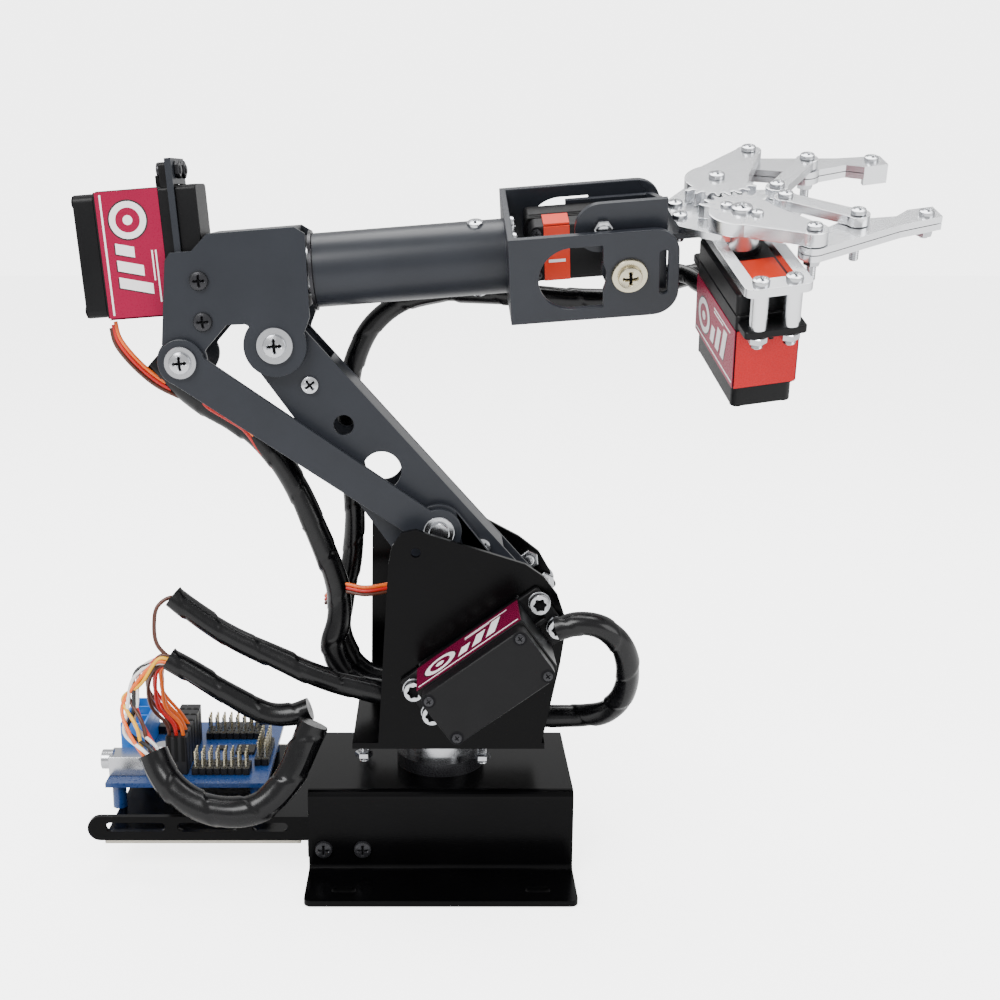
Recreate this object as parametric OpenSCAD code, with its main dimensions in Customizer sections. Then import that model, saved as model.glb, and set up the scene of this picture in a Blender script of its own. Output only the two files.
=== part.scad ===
// Desktop robot arm: a slotted base with a turntable, an upper arm with a crank and link,
// a rolling forearm tube, a wrist fork and a parallel two-finger gripper. Millimetres, +Z up.
// The origin is the centre of the base on its resting face; the arm lies in the XZ plane.

/* [Base] */
// Length of the folded base
base_len = 88; // [84:1:96]
// Height of the base's top face
base_h = 29.5; // [28:0.5:32]
// Outside width between the two walls
base_w = 53; // [52:0.5:56]
// Depth of each mounting flange
flange_d = 22; // [20:0.5:24]
// Distance between slot centres along X
slot_dx = 63; // [58:1:66]
// Distance between slot centres along Y
slot_dy = 82; // [80:1:84]
// Width of a mounting slot
slot_w = 3.4; // [3:0.1:4.5]
// Overall length of a mounting slot
slot_len = 8.5; // [6:0.5:10]
/* [Arm] */
// Height of the shoulder axis above the resting face
shoulder_z = 82.7; // [82:0.1:84]
// Thickness of the black sheet metal
sheet = 2; // [1.8:0.1:2]
// Outside radius of the forearm tube
tube_r = 11.8; // [11:0.1:12]
// Length of the forearm tube
tube_len = 61; // [60:0.5:61]
/* [Gripper] */
// Distance between the two lever axes, equal to the gear pitch diameter
gear_d = 26; // [26:1:26]
// Length of a lever and of a link
lever_len = 24.5; // [23:0.5:25]
// Opening angle of the levers at rest
open_deg = 48; // [40:1:50]
/* [Hidden] */
$fn = 48;
e = 0.01;
frame_black = [0.12, 0.13, 0.14];
arm_grey = [0.24, 0.26, 0.3];
servo_black = [0.07, 0.07, 0.08];
silver = [0.84, 0.85, 0.86];
sleeve_black = [0.05, 0.05, 0.06];

// Plan position of the shoulder axis and of the elbow axis
shoulder_x = 22.3;
elbow_x = -52.5;
elbow_z = 175.4;
arm_len = norm([elbow_x - shoulder_x, elbow_z - shoulder_z]);
arm_tilt = atan2(elbow_z - shoulder_z, elbow_x - shoulder_x);
servo_tilt = 36;
// Angles at rest: forearm above the horizontal, roll towards -Y, gripper yaw on the wrist
forearm_tilt = 4.4;
roll_rest = 23;
grip_yaw = 6;
// Layers along Y, each measured outwards from the arm's middle plane
plate_y = 26;
arm_y = 9.2;
arm_t = 1.6;
cheek_y = 13.4;
link_y = 14;
// Standard servo, measured from the face of its ears that the bracket touches
servo_l = 40;
servo_w = 20;
servo_low = 28;
servo_up = 8.5;
ear_l = 54.5;
ear_t = 2.5;
ear_hole_x = 24.75;
ear_hole_y = 5;
shaft_off = 10;
shaft_r = 2.95;
boss_r = 6.5;
boss_h = 1.5;
horn_r = 10;
horn_t = 2.5;
run = 0.05;
// Turntable
ring_r = 11.8;
turn_z = 44.5;
// Crank, link and rear pivot, in the XZ plane
crank_tip = [-0.6, 115.4];
crank_tilt = atan2(crank_tip[1] - shoulder_z, crank_tip[0] - shoulder_x);
crank_len = norm(crank_tip - [shoulder_x, shoulder_z]);
rear_local = [-29.8, -2.8];
rear_pin = [elbow_x + rear_local[0] * cos(forearm_tilt) - rear_local[1] * sin(forearm_tilt),
    elbow_z + rear_local[0] * sin(forearm_tilt) + rear_local[1] * cos(forearm_tilt)];
link_tilt = atan2(crank_tip[1] - rear_pin[1], crank_tip[0] - rear_pin[0]);
link_len = norm(crank_tip - rear_pin);
// Forearm, measured from the elbow along the tube and square to it
roll_z = 21.7;
rear_plate_x = -28.5;
tube_x = 14;
fork_x = tube_x + tube_len;
wrist_x = 112.1;
fork_w = 40;
fork_end = 127.5;
grip_x = 146;
grip_z = 11;
// Gripper
link_dx = 17;
link_dy = 9;
lever_t = 4.4;
finger_t = 4.4;
finger_len = 24;
teeth = 24;
// Control board
board = [[-116, -6], [-60, 50]];
board_z = 21.6;
board_t = 1.6;
tray_z = 11;

// Cord routes, each with its radius; the points are chosen by hand
roll_lead_r = 4.5;
roll_lead_pts = [[-102, 4, 175], [-95, 5, 168], [-87, 5, 161], [-78, 5, 154], [-69, 5, 149], [-61, 5, 143],
    [-54, 5, 135], [-48, 5, 125], [-43, 5, 113], [-38, 5, 100], [-35, 5, 89], [-35, 4, 79], [-37, 3, 70],
    [-34, 2, 62], [-28, 1, 57], [-20, 1, 55]];
wrist_lead_r = 3.9;
wrist_lead_pts = [[92, 26, 196], [80, 24, 194], [66, 25, 188], [50, 24, 187], [34, 22, 188], [18, 21, 189],
    [2, 20, 190], [-12, 19, 187], [-22, 18, 180], [-28, 17, 170], [-31, 17, 158], [-32, 17, 144],
    [-31, 18, 130], [-30, 20, 114], [-31, 21, 98], [-34, 20, 82], [-35, 16, 72], [-31, 12, 63], [-25, 11, 57.5],
    [-18, 11, 55.5]];
upper_sleeve_r = 4.2;
upper_sleeve_pts = [[-90, -4, 90], [-84, -5, 85.5], [-76, -6, 80], [-68, -7, 75.5], [-60, -8, 72], [-52, -9, 68.5],
    [-44, -10, 65], [-36, -10, 62], [-27, -10, 59.5], [-19, -10, 57.5]];
lower_sleeve_r = 4.2;
lower_sleeve_pts = [[-91, -10, 70], [-84, -11, 66.2], [-76, -12, 61.4], [-69.8, -12, 57.5], [-63.5, -12, 53.8],
    [-57, -12, 51], [-50, -12, 51], [-44, -12, 53]];
board_loom_r = 5.5;
board_loom_pts = [[-95, -23, 42], [-92.5, -25, 37], [-88, -28, 31.8], [-81.6, -30, 27.4], [-74, -31, 25],
    [-66, -31, 24.5], [-58.5, -30, 26.5], [-52.5, -28, 31.5], [-48, -26, 38], [-45, -24, 45], [-42, -22.5, 52]];
side_lead_r = 4.1;
side_lead_pts = [[36, -42, 91], [42, -43, 93], [49, -43, 92], [55, -41, 87], [58.5, -37, 79], [59.5, -32, 70],
    [58, -27, 62], [54, -22, 56], [48, -18, 53], [41, -16, 52], [34, -15, 51.5], [27, -15, 51.5]];
cord_sides = 8;

// ---- Frames of reference -------------------------------------------------------------

// Lays a drawing made in XY onto the XZ plane, then thickens it from y0 to y1
module slab(y0, y1) {
    translate([0, y1, 0]) rotate([90, 0, 0]) linear_extrude(height = y1 - y0) children();
}
// A cylinder along Y at a point of the XZ plane
module ypin(p, y0, y1, r) {
    translate([p[0], y1, p[1]]) rotate([90, 0, 0]) cylinder(h = y1 - y0, r = r);
}
// A cylinder along X
module xpin(x0, x1, r) {
    translate([x0, 0, 0]) rotate([0, 90, 0]) cylinder(h = x1 - x0, r = r);
}
// A cylinder along Z at a point of the XY plane
module zpin(p, z0, z1, r) {
    translate([p[0], p[1], z0]) cylinder(h = z1 - z0, r = r);
}
// A box given by its two corners
module span(a, b) {
    translate(a) cube(b - a);
}
module arm_frame() {
    translate([shoulder_x, 0, shoulder_z]) rotate([0, -arm_tilt, 0]) children();
}
module forearm_frame() {
    translate([elbow_x, 0, elbow_z]) rotate([0, -forearm_tilt, 0]) children();
}
module roll_frame() {
    forearm_frame() translate([0, 0, roll_z]) rotate([roll_rest, 0, 0]) children();
}
module grip_frame() {
    roll_frame() translate([grip_x, 0, grip_z]) rotate([0, 0, grip_yaw]) children();
}
// The two big servos: side -1 is the one towards -Y
module arm_servo_frame(side) {
    translate([shoulder_x, side * plate_y, shoulder_z]) rotate([0, -servo_tilt, 0])
        rotate([90 * side, 0, 0]) children();
}

// ---- Shared shapes -------------------------------------------------------------------

// A flat bar with round ends of radius ra at the origin and rb at distance len along X
module lobe_bar(len, ra, rb) {
    slant = asin((ra - rb) / len);
    circle(r = ra);
    translate([len, 0]) circle(r = rb);
    polygon([for (s = [1, -1]) each (s > 0
        ? [[ra * sin(slant), ra * cos(slant)], [len + rb * sin(slant), rb * cos(slant)]]
        : [[len + rb * sin(slant), -rb * cos(slant)], [ra * sin(slant), -ra * cos(slant)]])]);
}
// A slot along X: two circles and the square between them
module slot2d(len, w) {
    for (s = [-1, 1]) translate([s * (len - w) / 2, 0]) circle(d = w);
    square([len - w, w], center = true);
}
// A rectangle with round corners
module round_rect(w, h, r) {
    square([w - 2 * r, h], center = true);
    square([w, h - 2 * r], center = true);
    for (sx = [-1, 1], sy = [-1, 1]) translate([sx * (w / 2 - r), sy * (h / 2 - r)]) circle(r = r);
}
// The outline of a servo body and the pattern of its ear holes, shaft at the origin
module servo_window(clear) {
    translate([-shaft_off, 0]) square([servo_l + clear, servo_w + clear], center = true);
}
module ear_holes() {
    for (sx = [-1, 1], sy = [-1, 1])
        translate([sx * ear_hole_x - shaft_off, sy * ear_hole_y]) children();
}
// A servo with its shaft up and the mounting face of its ears at z = 0
module servo(low = servo_low, ears = true) {
    translate([-shaft_off, 0, -low - ear_t]) linear_extrude(height = low + ear_t + servo_up)
        round_rect(servo_l, servo_w, 1.2);
    if (ears)
        translate([0, 0, -ear_t]) linear_extrude(height = ear_t) difference() {
            translate([-shaft_off, 0]) round_rect(ear_l, servo_w - 1, 1.5);
            ear_holes() circle(r = 2.2);
        }
    zpin([0, 0], servo_up - e, servo_up + boss_h, boss_r);
    zpin([0, 0], servo_up, servo_up + boss_h + 4, shaft_r);
}
// Button-head screw standing on z = 0: its head above, its shank below
module screw(r, shank, head_r, head_h) {
    cylinder(h = head_h, r = head_r);
    translate([0, 0, -shank]) cylinder(h = shank + e, r = r);
}
module hex_nut(r, h, bore) {
    difference() {
        cylinder(h = h, r = r, $fn = 6);
        translate([0, 0, -e]) cylinder(h = h + 2 * e, r = bore);
    }
}
// A closed tube swept along a list of points, with its rings square to the path
function unit(v) = v / norm(v);
function tangent(p, i) = unit(p[min(i + 1, len(p) - 1)] - p[max(i - 1, 0)]);
function side_of(t) = unit(cross(t, abs(t[1]) > 0.8 ? [1, 0, 0] : [0, 1, 0]));
module cord(p, r) {
    n = len(p);
    k = cord_sides;
    rings = [for (i = [0:n - 1]) let (t = tangent(p, i), u = side_of(t), w = cross(t, u))
        for (j = [0:k - 1]) p[i] + r * (cos(360 * j / k) * u + sin(360 * j / k) * w)];
    walls = [for (i = [0:n - 2], j = [0:k - 1], half = [0, 1]) half == 0
        ? [(i + 1) * k + (j + 1) % k, i * k + (j + 1) % k, i * k + j]
        : [(i + 1) * k + j, (i + 1) * k + (j + 1) % k, i * k + j]];
    ends = [[for (j = [0:k - 1]) j], [for (j = [k - 1:-1:0]) (n - 1) * k + j]];
    color(sleeve_black) polyhedron(points = rings, faces = concat(walls, ends), convexity = 6);
}

// ---- Base ----------------------------------------------------------------------------

bend_r = 2.6;
foot_r = 1.5;
function arc_points(c, r, a0, a1) = [for (i = [0:5]) let (a = a0 + (a1 - a0) * i / 5) c + r * [cos(a), sin(a)]];
// Section of the folded sheet across Y, bent at the top edges and at the feet
module base_section() {
    wall = base_w / 2;
    top_c = [wall - bend_r, base_h - bend_r];
    foot_c = [wall + foot_r, sheet + foot_r];
    half = concat(arc_points(top_c, bend_r, 90, 0), arc_points(foot_c, foot_r, 180, 270),
        [[wall + flange_d, sheet], [wall + flange_d, 0]], arc_points(foot_c, foot_r + sheet, 270, 180),
        arc_points(top_c, bend_r - sheet, 0, 90));
    polygon(concat(half, [for (i = [len(half) - 1:-1:0]) [-half[i][0], half[i][1]]]));
}
module base_frame() {
    wall = base_w / 2;
    color(frame_black) difference() {
        intersection() {
            rotate([90, 0, 90]) linear_extrude(height = base_len, center = true) base_section();
            linear_extrude(height = base_h) round_rect(base_len, base_w + 2 * flange_d, 2.5);
        }
        for (sx = [-1, 1], sy = [-1, 1]) translate([sx * slot_dx / 2, sy * slot_dy / 2, -1])
            linear_extrude(height = sheet + 2) slot2d(slot_len, slot_w);
        zpin([0, 0], base_h - 3, base_h + 1, 6.6);
        for (x = base_screw_x) ypin([x, base_screw_z], -wall - 1, -wall + 3, 1.5);
    }
}
base_screw_x = [-39, -26];
base_screw_z = 9;
module base_screws() {
    wall = base_w / 2;
    color(servo_black) for (x = base_screw_x) translate([x, -wall, base_screw_z]) rotate([90, 0, 0]) {
        screw(1.5, 6, 2.7, 1.6);
        translate([0, 0, -2 * sheet - 2.3]) hex_nut(2.8, 2.2, 1.4);
    }
}
module yaw_servo() {
    color(servo_black) {
        translate([-shaft_off, 0, 3]) linear_extrude(height = base_h - sheet - 3)
            round_rect(servo_l, servo_w, 1.2);
        zpin([0, 0], base_h - sheet - e, base_h, boss_r);
        zpin([0, 0], base_h - e, turn_z - 3, shaft_r);
    }
}
module bearing_housing() {
    color(frame_black) difference() {
        zpin([0, 0], base_h, base_h + 4.5, 15);
        zpin([0, 0], base_h - 1, base_h + 6, 6.6);
        zpin([0, 0], base_h + 2.5, base_h + 6, 9.3);
    }
}
module bearing_outer_ring() {
    color(silver) difference() {
        zpin([0, 0], base_h + 4.5, turn_z - 0.6, ring_r);
        zpin([0, 0], base_h + 4, turn_z, 9.6);
    }
}
module bearing_cage() {
    mid_z = (base_h + 4.5 + turn_z) / 2;
    color(silver) {
        difference() {
            zpin([0, 0], mid_z - 0.6, mid_z + 0.6, 9.1);
            zpin([0, 0], mid_z - 1, mid_z + 1, 8.5);
        }
        for (i = [0:15]) rotate([0, 0, i * 22.5]) translate([8.8, 0, mid_z]) sphere(r = 0.72, $fn = 24);
    }
}
module bearing_inner_ring() {
    color(silver) difference() {
        zpin([0, 0], base_h + 5, turn_z, 8);
        zpin([0, 0], base_h + 4, turn_z + 1, 5);
    }
}
module yaw_hub() {
    color(silver) difference() {
        zpin([0, 0], base_h + 2, turn_z, 5);
        zpin([0, 0], base_h + 1, turn_z - 2.5, shaft_r + run);
    }
}

// ---- Control board -------------------------------------------------------------------

tray_x = [-118, -46];
tray_y = -24.4;
module board_tray() {
    bar_h = 8.5;
    color(frame_black) difference() {
        union() {
            slab(tray_y, tray_y + sheet) {
                translate([tray_x[0] + bar_h / 2, tray_z + bar_h / 2]) circle(d = bar_h);
                polygon([[tray_x[0] + bar_h / 2, tray_z], [-44.5, tray_z], [-44.5, 5], [-20, 5],
                    [-20, tray_z + bar_h], [tray_x[0] + bar_h / 2, tray_z + bar_h]]);
            }
            span([tray_x[0] + 6, tray_y + e, tray_z], [tray_x[1], 52, tray_z + sheet]);
        }
        for (x = [-102, -78]) slab(tray_y - 1, tray_y + sheet + 1)
            translate([x, tray_z + bar_h / 2 + 0.5]) slot2d(20, 3.2);
        slab(tray_y - 1, tray_y + sheet + 1) translate([-57, tray_z + bar_h / 2 + 0.5]) slot2d(12, 3.2);
        for (x = base_screw_x) ypin([x, base_screw_z], tray_y - 1, tray_y + sheet + 1, 1.5);
    }
}
module board_plate() {
    color([0.86, 0.83, 0.74]) span([-113, -22, tray_z - 2.4], [-47, 58, tray_z]);
}
module control_board() {
    color([0.1, 0.28, 0.62]) {
        span(concat(board[0], [board_z]), concat(board[1], [board_z + board_t]));
        for (x = [board[0][0] + 4, board[1][0] - 4], y = [board[0][1] + 4, board[1][1] - 4])
            zpin([x, y], tray_z + sheet, board_z + e, 2.4);
    }
}
module terminal_block() {
    z0 = board_z + board_t;
    color([0.12, 0.4, 0.8]) difference() {
        span([-115, 16, z0], [-106, 42, z0 + 13]);
        for (y = [20.5, 29, 37.5]) zpin([-110.5, y], z0 + 9, z0 + 14, 2.6);
    }
}
module power_jack() {
    z0 = board_z + board_t;
    color(silver) {
        span([-116, 0, z0], [-103, 9, z0 + 7]);
        translate([-119, 4.5, z0 + 4.5]) xpin(0, 4, 3.4);
    }
}
module pin_headers() {
    z0 = board_z + board_t;
    pitch = 2.54;
    color([0.75, 0.72, 0.62]) for (row = [[-86, 2, 8, 3], [-86, 34, 8, 3], [-65, 10, 2, 8]]) {
        translate([row[0] - pitch / 2, row[1] - pitch / 2, z0]) cube([row[2] * pitch, row[3] * pitch, 2.5]);
        for (i = [0:row[2] - 1], j = [0:row[3] - 1])
            translate([row[0] + i * pitch - 0.35, row[1] + j * pitch - 0.35, z0 + 2.4]) cube([0.7, 0.7, 6.1]);
    }
}
module servo_plugs() {
    z0 = board_z + board_t;
    color(servo_black) for (i = [0:5])
        span([-96, 1 + i * 5.4, z0], [-88.6, 5.9 + i * 5.4, z0 + 14]);
}

// ---- Turntable -----------------------------------------------------------------------

module plate_front_outline() {
    polygon([[-20.6, turn_z], [32.6, turn_z], [38.6, 74], [40, 84], [39.8, 90], [37.4, 97], [33, 103],
        [27, 107.2], [-3.8, 117], [-8, 118.5], [-12.5, 117.5], [-15.6, 113], [-16.8, 107]]);
}
module plate_back_outline() {
    polygon([[-25, turn_z], [32.6, turn_z], [38.6, 74], [40, 84], [39, 91], [35, 98], [28, 103.5],
        [13, 111.6], [-8, 120], [-17, 120], [-22, 117], [-24, 110]]);
}
module servo_cutout() {
    translate([shoulder_x, shoulder_z]) rotate(servo_tilt) {
        servo_window(0.6);
        ear_holes() circle(r = 2);
    }
}
module turntable_bracket() {
    color(frame_black) difference() {
        union() {
            slab(-plate_y, -plate_y + sheet) difference() {
                plate_front_outline();
                servo_cutout();
                translate([-8, 111]) circle(r = 1.6);
            }
            slab(plate_y - sheet, plate_y) difference() {
                plate_back_outline();
                servo_cutout();
            }
            span([-29, -plate_y + e, turn_z], [34, plate_y - e, turn_z + sheet]);
        }
        zpin([0, 0], turn_z - 1, turn_z + sheet + 1, 2);
        for (a = [30:120:270]) rotate([0, 0, a]) zpin([6.5, 0], turn_z - 1, turn_z + sheet + 1, 1.25);
    }
}
module turntable_bolts() {
    color(silver) {
        for (a = [30:120:270]) rotate([0, 0, a]) translate([6.5, 0, turn_z + sheet]) screw(1.25, sheet, 2.2, 1.5);
        translate([0, 0, turn_z + sheet]) screw(1.9, sheet, 3.2, 1.6);
        for (p = [[14, -14], [-26, -12], [-26, 12]]) translate([p[0], p[1], turn_z - 10.2]) {
            cylinder(h = 10.2, r = 1.5);
            translate([0, 0, 1.4]) hex_nut(2.9, 2.2, 1.5);
        }
    }
}
module elbow_servo() {
    color(servo_black) arm_servo_frame(-1) servo();
}
module shoulder_servo() {
    color(servo_black) arm_servo_frame(1) servo();
}
module arm_servo_screws() {
    color(silver) for (side = [-1, 1]) arm_servo_frame(side) ear_holes() {
        translate([0, 0, -ear_t]) mirror([0, 0, 1]) screw(2, ear_t + sheet + 2.8, 3.7, 3.4);
        translate([0, 0, sheet]) hex_nut(3.6, 2.4, 2);
    }
}

// ---- Upper arm, crank and link -------------------------------------------------------

arm_end_r = 9.8;
arm_root_r = 16;
module arm_outline() {
    lobe_bar(arm_len, arm_root_r, arm_end_r);
}
spacer_at = [[102.4, 0], [25.8, -9.6]];
module upper_arm_channel() {
    color(arm_grey) arm_frame() {
        for (s = [-1, 1]) slab(s > 0 ? arm_y - arm_t : -arm_y, s > 0 ? arm_y : -arm_y + arm_t)
            difference() {
                arm_outline();
                circle(r = s > 0 ? 3.2 : 4 + run);
                translate([arm_len, 0]) circle(r = 3 + run);
                translate([85.5, 0]) circle(r = 3.3);
                translate([66.1, 0]) circle(r = 6.4);
                for (p = spacer_at) translate(p) circle(r = 1.6);
            }
        slant = asin((arm_root_r - arm_end_r) / arm_len);
        rotate([0, -slant, 0]) span([20, -arm_y + e, -arm_root_r + 0.05], [104, arm_y - e, -arm_root_r + arm_t]);
    }
}
module arm_spacers() {
    color(silver) arm_frame() for (p = spacer_at) {
        ypin(p, -arm_y + arm_t, arm_y - arm_t, 2.8);
        ypin(p, -arm_y - e, arm_y + e, 1.6);
        ypin(p, -arm_y - 1.8, -arm_y, 2.9);
        ypin(p, arm_y, arm_y + 1.8, 2.9);
    }
}
module shoulder_hub() {
    horn_in = plate_y - servo_up - boss_h - 0.1;
    color(silver) difference() {
        union() {
            ypin([shoulder_x, shoulder_z], horn_in - horn_t, horn_in, horn_r);
            ypin([shoulder_x, shoulder_z], arm_y, horn_in - 1, 7);
            ypin([shoulder_x, shoulder_z], arm_y - arm_t, arm_y + e, 3.2);
        }
        ypin([shoulder_x, shoulder_z], plate_y - servo_up - boss_h - 4.3, horn_in + 1, shaft_r + run);
    }
}
module crank() {
    horn_in = plate_y - servo_up - boss_h - 0.1;
    at = [shoulder_x, shoulder_z];
    color(arm_grey) difference() {
        union() {
            translate([at[0], 0, at[1]]) rotate([0, -crank_tilt, 0]) slab(-cheek_y, -cheek_y + sheet) difference() {
                lobe_bar(crank_len, horn_r + 0.6, 8.5);
                translate([crank_len, 0]) circle(r = 4.6);
            }
            ypin(at, -horn_in, -cheek_y + e, horn_r);
            ypin(at, -cheek_y + sheet - e, -arm_y + arm_t, 4);
        }
        ypin(at, -horn_in - 1, -plate_y + servo_up + boss_h + 4.3, shaft_r + run);
    }
}
module link_bar() {
    color(arm_grey) translate([rear_pin[0], 0, rear_pin[1]]) rotate([0, -link_tilt, 0])
        slab(-link_y - sheet, -link_y) difference() {
            union() {
                for (x = [0, link_len]) translate([x, 0]) circle(r = 7.4);
                polygon([[0, -7.2], [link_len, -6.3], [link_len, 4.2], [0, 5.3]]);
            }
            circle(r = 2.5 + run);
            translate([link_len, 0]) circle(r = 2.5);
        }
}
module link_pin() {
    color(silver) {
        ypin(crank_tip, -link_y, -arm_y - 2, 2.5);
        ypin(crank_tip, -link_y - sheet, -link_y + e, 2.5);
        ypin(crank_tip, -link_y - sheet - 1, -link_y - sheet, 5);
        ypin(crank_tip, -link_y - sheet - 3, -link_y - sheet - 1 + e, 3.4);
    }
}

// ---- Forearm -------------------------------------------------------------------------

cheek_pts = [[-35.6, 3], [-31.6, 29], [-29.8, 31.3], [-23, 31.3], [-17.7, 36.2], [9.6, 36.2], [12.7, 34],
    [11.8, 8], [8, 0], [-4, 4], [-8.6, 7.4], [-14.6, 7.6], [-21.8, 0.6], [-24, -3]];
side_screws = [[-21.6, 22], [-21.8, 9.2]];
module cheek_outline() {
    polygon(cheek_pts);
    circle(r = 10);
    translate(rear_local) circle(r = 8);
}
module forearm_bracket() {
    top = 36.2;
    color(arm_grey) forearm_frame() difference() {
        union() {
            for (s = [-1, 1]) slab(s > 0 ? cheek_y - sheet : -cheek_y, s > 0 ? cheek_y : -cheek_y + sheet)
                cheek_outline();
            span([-17.7, -cheek_y + e, top - arm_t], [9.6, cheek_y - e, top]);
            span([9.5, -cheek_y + e, roll_z - 11], [11.5, cheek_y - e, roll_z + 11]);
            span([rear_plate_x, -cheek_y + sheet - e, 3], [rear_plate_x + sheet, cheek_y - sheet + e, 60]);
        }
        translate([rear_plate_x, 0, roll_z]) rotate([0, 90, 0]) translate([0, 0, -1])
            linear_extrude(height = sheet + 2) {
                servo_window(0.6);
                ear_holes() circle(r = 1.9);
            }
        translate([0, 0, roll_z]) xpin(9, 12, 8 + run);
        for (p = [[0, 0], rear_local]) ypin(p, -cheek_y - 1, cheek_y + 1, p == rear_local ? 2.5 : 3);
        for (p = side_screws) ypin(p, -cheek_y - 1, cheek_y + 1, 1.5);
    }
}
module pivot_axles() {
    color(silver) forearm_frame() {
        ypin([0, 0], -cheek_y, cheek_y, 3);
        for (s = [-1, 1]) difference() {
            ypin([0, 0], s > 0 ? arm_y + 0.2 : -cheek_y + sheet, s > 0 ? cheek_y - sheet : -arm_y - 0.2, 6);
            ypin([0, 0], -cheek_y, cheek_y, 2.9);
        }
        ypin(rear_local, -link_y - sheet - 0.1, cheek_y, 2.5);
        ypin(rear_local, -cheek_y + sheet, cheek_y - sheet, 3.6);
        ypin(rear_local, -cheek_y - 0.5, -cheek_y, 4.5);
    }
}
module pivot_washers() {
    color(silver) forearm_frame() {
        for (s = [-1, 1]) translate([0, s * cheek_y, 0]) rotate([-90 * s, 0, 0]) {
            cylinder(h = 1.2, r = 5.9);
            cylinder(h = 3.2, r = 3.7);
        }
        translate([rear_local[0], -link_y - sheet - 0.1, rear_local[1]]) rotate([90, 0, 0]) {
            cylinder(h = 1.2, r = 5.2);
            cylinder(h = 3.2, r = 3.5);
        }
        translate([rear_local[0], cheek_y, rear_local[1]]) rotate([-90, 0, 0]) hex_nut(3.6, 2.6, 2.4);
    }
}
module roll_servo_frame() {
    forearm_frame() translate([rear_plate_x, 0, roll_z]) rotate([0, 90, 0]) children();
}
module roll_servo() {
    color(servo_black) roll_servo_frame() servo();
}
module forearm_screws() {
    color([0.3, 0.3, 0.32]) {
        roll_servo_frame() ear_holes() {
            translate([0, 0, -ear_t]) mirror([0, 0, 1]) screw(1.9, ear_t + sheet, 2.6, 1.5);
            translate([0, 0, sheet]) cylinder(h = 1.6, r = 2.6);
        }
        forearm_frame() for (p = side_screws, s = [-1, 1])
            translate([p[0], s * cheek_y, p[1]]) rotate([-90 * s, 0, 0]) screw(1.5, sheet, 3, 1.6);
    }
}
module tube_bearing() {
    color(frame_black) forearm_frame() translate([0, 0, roll_z]) difference() {
        xpin(12.8, 13.8, 12.8);
        xpin(12, 15, 8 + run);
    }
}
module roll_hub() {
    horn_x = rear_plate_x + servo_up + boss_h + 0.1;
    color(silver) roll_frame() difference() {
        union() {
            xpin(horn_x, horn_x + horn_t, horn_r);
            xpin(horn_x + 1, tube_x, 8);
        }
        xpin(horn_x - 1, rear_plate_x + servo_up + boss_h + 4.3, shaft_r + run);
    }
}
module forearm_tube() {
    color(arm_grey) roll_frame() difference() {
        xpin(tube_x, fork_x, tube_r);
        xpin(tube_x + 3, fork_x + 1, tube_r - sheet);
    }
}
module tube_screws() {
    color(silver) roll_frame() for (s = [-1, 1]) {
        difference() {
            translate([fork_x - 9, 0, s * (tube_r + 0.6)]) cylinder(h = 2.8, r = 2.6, center = true);
            xpin(fork_x - 20, fork_x, tube_r);
        }
        translate([fork_x + sheet, s * 6, 8]) rotate([0, 90, 0]) cylinder(h = 2, r = 2.6);
        translate([fork_x + sheet, s * 6, -8]) rotate([0, 90, 0]) cylinder(h = 2, r = 2.6);
    }
}

// ---- Wrist ---------------------------------------------------------------------------

fork_h = 29;
module fork_cheek(window) {
    difference() {
        union() {
            translate([fork_x, -fork_h / 2]) square([fork_end - fork_x - 8, fork_h]);
            translate([fork_end - 16, -fork_h / 2 + 8]) square([16, fork_h - 16]);
            for (s = [-1, 1]) translate([fork_end - 8, s * (fork_h / 2 - 8)]) circle(r = 8);
        }
        translate([wrist_x, 0]) circle(r = 2.5);
        if (window) {
            translate([94.5, -10.5]) square([9.5, 21]);
            translate([94.5, 0]) circle(r = 10.5);
            translate([122.8, 0]) rotate(90) slot2d(15, 2.6);
        }
    }
}
module wrist_fork() {
    half = fork_w / 2;
    color(arm_grey) roll_frame() difference() {
        union() {
            for (s = [-1, 1]) slab(s > 0 ? half - sheet : -half, s > 0 ? half : -half + sheet) fork_cheek(true);
            span([fork_x, -half + e, -fork_h / 2], [fork_x + sheet, half - e, fork_h / 2]);
        }
        xpin(fork_x - 1, fork_x + sheet + 1, 5);
    }
}
module wrist_pivot() {
    half = fork_w / 2;
    w = [wrist_x, 0];
    color([0.78, 0.72, 0.55]) roll_frame() {
        ypin(w, -half - 1, -13.6, 2.5);
        difference() {
            ypin(w, -half + sheet, -15.1, 4.5);
            ypin(w, -half, -15, 2.4);
        }
        ypin(w, -half - 1.2, -half, 5.6);
        ypin(w, -half - 3.4, -half - 1, 3.8);
        ypin(w, half - sheet, half, 2.5);
        ypin(w, half, half + 1.2, 5.6);
    }
}
servo_back_y = 13.9;
module wrist_horn() {
    color(silver) roll_frame() difference() {
        ypin([wrist_x, 0], servo_back_y + 1.8, fork_w / 2 - sheet, 9);
        ypin([wrist_x, 0], 13, 17, shaft_r + run);
    }
}
module wrist_servo() {
    color(servo_black) roll_frame() {
        translate([wrist_x - shaft_off, servo_back_y, 0]) rotate([90, 0, 0]) linear_extrude(height = 15)
            round_rect(servo_l, servo_w, 1.2);
        ypin([wrist_x, 0], servo_back_y - e, servo_back_y + 1.5, boss_r);
        ypin([wrist_x, 0], servo_back_y, servo_back_y + 2.9, shaft_r);
    }
}
bracket_x = 122.4;
flange_screw = [130, 4.5];
bracket_top = 22;
module bracket_cheek() {
    translate([wrist_x, 0]) circle(r = 11);
    translate([96, -11]) square([bracket_x + sheet - 96, 22]);
}
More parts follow.
